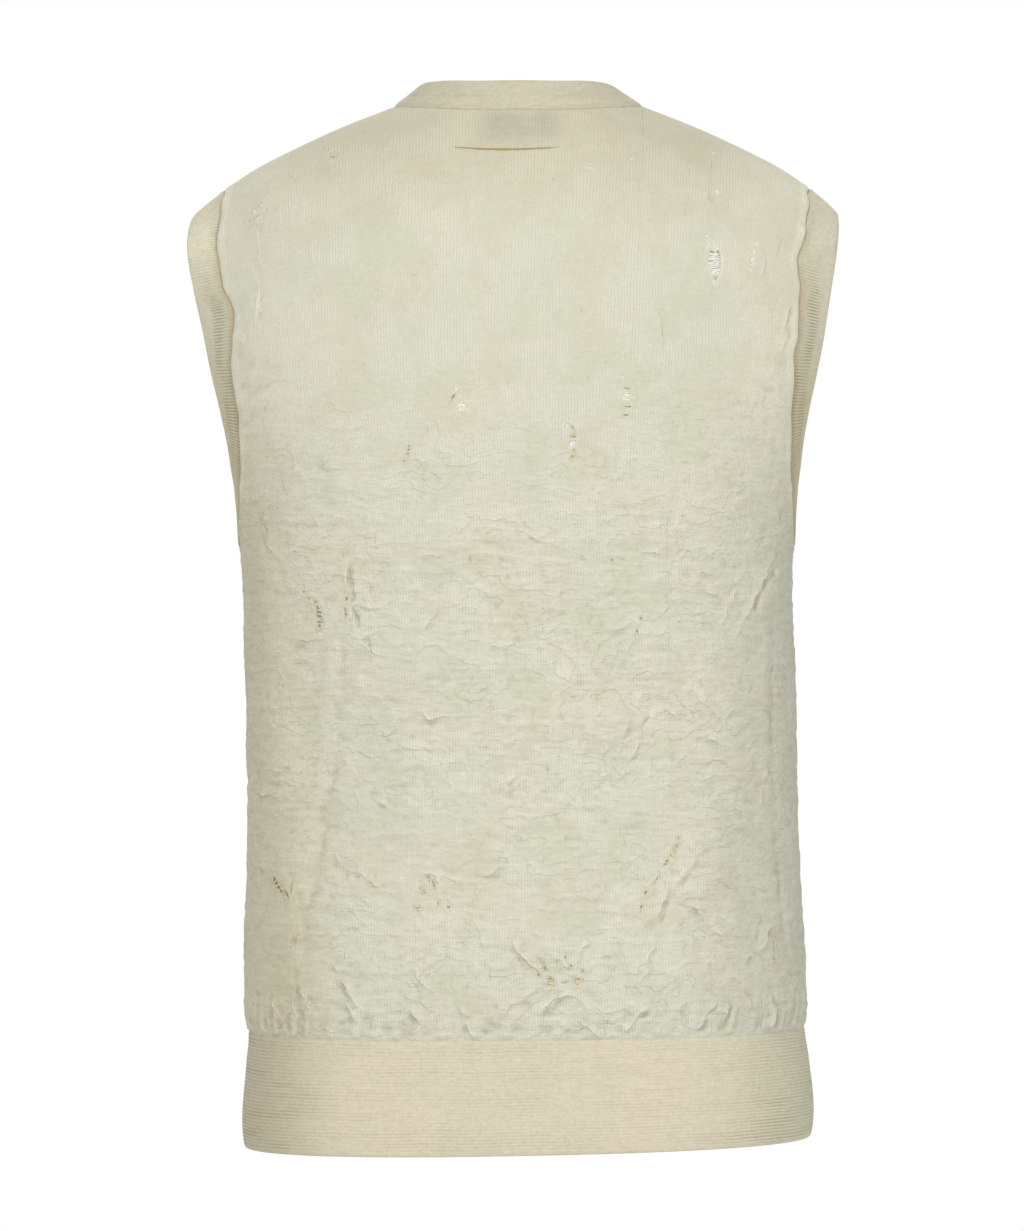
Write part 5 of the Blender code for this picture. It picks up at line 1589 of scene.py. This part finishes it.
def tuck_surface():
    """The tuck's section carried across the back on a sagging line, and shrunk to nothing at both ends."""
    share = np.linspace(0, 1, TUCK_COLUMNS)[None, :]
    up, out, dark = np.array(TUCK_SECTION).T[..., None]
    swell = np.sin(math.pi * (0.01 + 0.98 * share)) ** 0.4
    swell = swell * (1 + 0.10 * np.sin(31 * share) + 0.06 * np.sin(67 * share))
    across = TUCK_ENDS[0] + (TUCK_ENDS[1] - TUCK_ENDS[0]) * share + 0 * up
    level = TUCK_LEVEL - TUCK_SAG * np.sin(math.pi * share) + up * swell
    points, _ = cloth_place(across, level, PANEL_WALL + out * swell / 1000)
    places = np.stack([across, level], axis=-1)
    # the fold's mark, for its painted shadow and soiling
    return points, places, {"fold_shadow_and_soil": dark + 0 * share}


def tube_piece(name, material, points, places, marks):
    """A tube as one piece: rows run round its section and columns from one closed end to the other."""
    rows, columns = points.shape[:2]
    faces = ring_faces(rows, columns).reshape(rows, columns, 4)[:, :-1].reshape(-1, 4)
    index = np.arange(rows * columns).reshape(rows, columns)
    for end, turned in ((0, 1), (-1, -1)):
        rim = index[:, end][::turned]
        fan = np.stack([np.full(rows - 2, rim[0]), rim[1:-1], rim[2:], rim[2:]], axis=1)
        faces = np.concatenate([faces, fan])
    return new_piece(name, points.reshape(-1, 3), faces, [material], places.reshape(-1, 2), marks)


tuck = tube_piece("neck_tuck_cloth", body_wool, *tuck_surface())
dressed(tuck, "back_neck_tuck")

# ---------------------------------------------------------------- floor, light and camera
# The vest is worn by nobody and stands clear of the floor, in soft even light, seen straight from the back.

FLOOR_HALF, FLOOR_HEIGHT = 1.6, -1.0
floor_corners = [(x, y, FLOOR_HEIGHT) for x in (-FLOOR_HALF, FLOOR_HALF) for y in (-FLOOR_HALF, FLOOR_HALF)]
floor_mesh = bpy.data.meshes.new("floor")
floor_mesh.from_pydata(floor_corners, [], [(0, 2, 3, 1)])
floor = bpy.data.objects.new("floor", floor_mesh)
bpy.context.scene.collection.objects.link(floor)
pale = bpy.data.materials.new("pale_floor")
pale.use_nodes = True
pale_shader = pale.node_tree.nodes["Principled BSDF"]
pale_shader.inputs["Base Color"].default_value = linear(240, 240, 238)
pale_shader.inputs["Roughness"].default_value = 0.8
floor_mesh.materials.append(pale)

LAMPS = table("name place aim size power", (
    ("key", (0.8, 2.6, 1.9), (0, 0, -0.3), 1.3, 47),
    ("fill", (-1.8, 2.6, 0.4), (0, 0, -0.3), 2.0, 22),
    ("front", (0.2, -3.2, 1.4), (0, 0, -0.3), 2.0, 44),
    ("inside", (0, 0.03, -0.17), (0, -1, -0.12), 0.12, 0.24),
))
for lamp in LAMPS:
    light = bpy.data.lights.new(lamp.name, "AREA")
    light.shape, light.size, light.energy = "SQUARE", lamp.size, lamp.power
    holder = bpy.data.objects.new(lamp.name, light)
    holder.location, holder.visible_camera = lamp.place, False
    toward = mathutils.Vector(lamp.aim) - mathutils.Vector(lamp.place)
    holder.rotation_euler = toward.to_track_quat("-Z", "Y").to_euler()
    bpy.context.scene.collection.objects.link(holder)

world = bpy.data.worlds.new("studio")
bpy.context.scene.world = world
world.use_nodes = True
sky = Shade(world.node_tree)
seen = sky.node("LightPath")
background = world.node_tree.nodes["Background"]
strength = seen * 0.50 + 0.50  # white to the camera, and half as bright to the cloth
background.inputs["Color"].default_value = (1, 1, 1, 1)
world.node_tree.links.new(strength.socket, background.inputs["Strength"])
bpy.context.scene.view_settings.view_transform = "Standard"

CAMERA_DISTANCE = 3.6
PIXEL = 0.000614  # metres of the vest that one pixel of the photo shows
FRAME_WIDTH = 1024  # pixels
FILM = 36  # mm
PHOTO_MIDDLE = (0.0043, -0.3123)  # x and z of the point that the photo's middle shows
camera_data = bpy.data.cameras.new("camera")
camera = bpy.data.objects.new("camera", camera_data)
camera_data.sensor_fit = "HORIZONTAL"
camera_data.sensor_width = FILM
camera_data.lens = FILM * CAMERA_DISTANCE / (FRAME_WIDTH * PIXEL)
camera.location = (PHOTO_MIDDLE[0], CAMERA_DISTANCE, PHOTO_MIDDLE[1])
camera.rotation_euler = (math.pi / 2, 0, math.pi)
camera_data.clip_end = 20
bpy.context.scene.collection.objects.link(camera)
bpy.context.scene.camera = camera
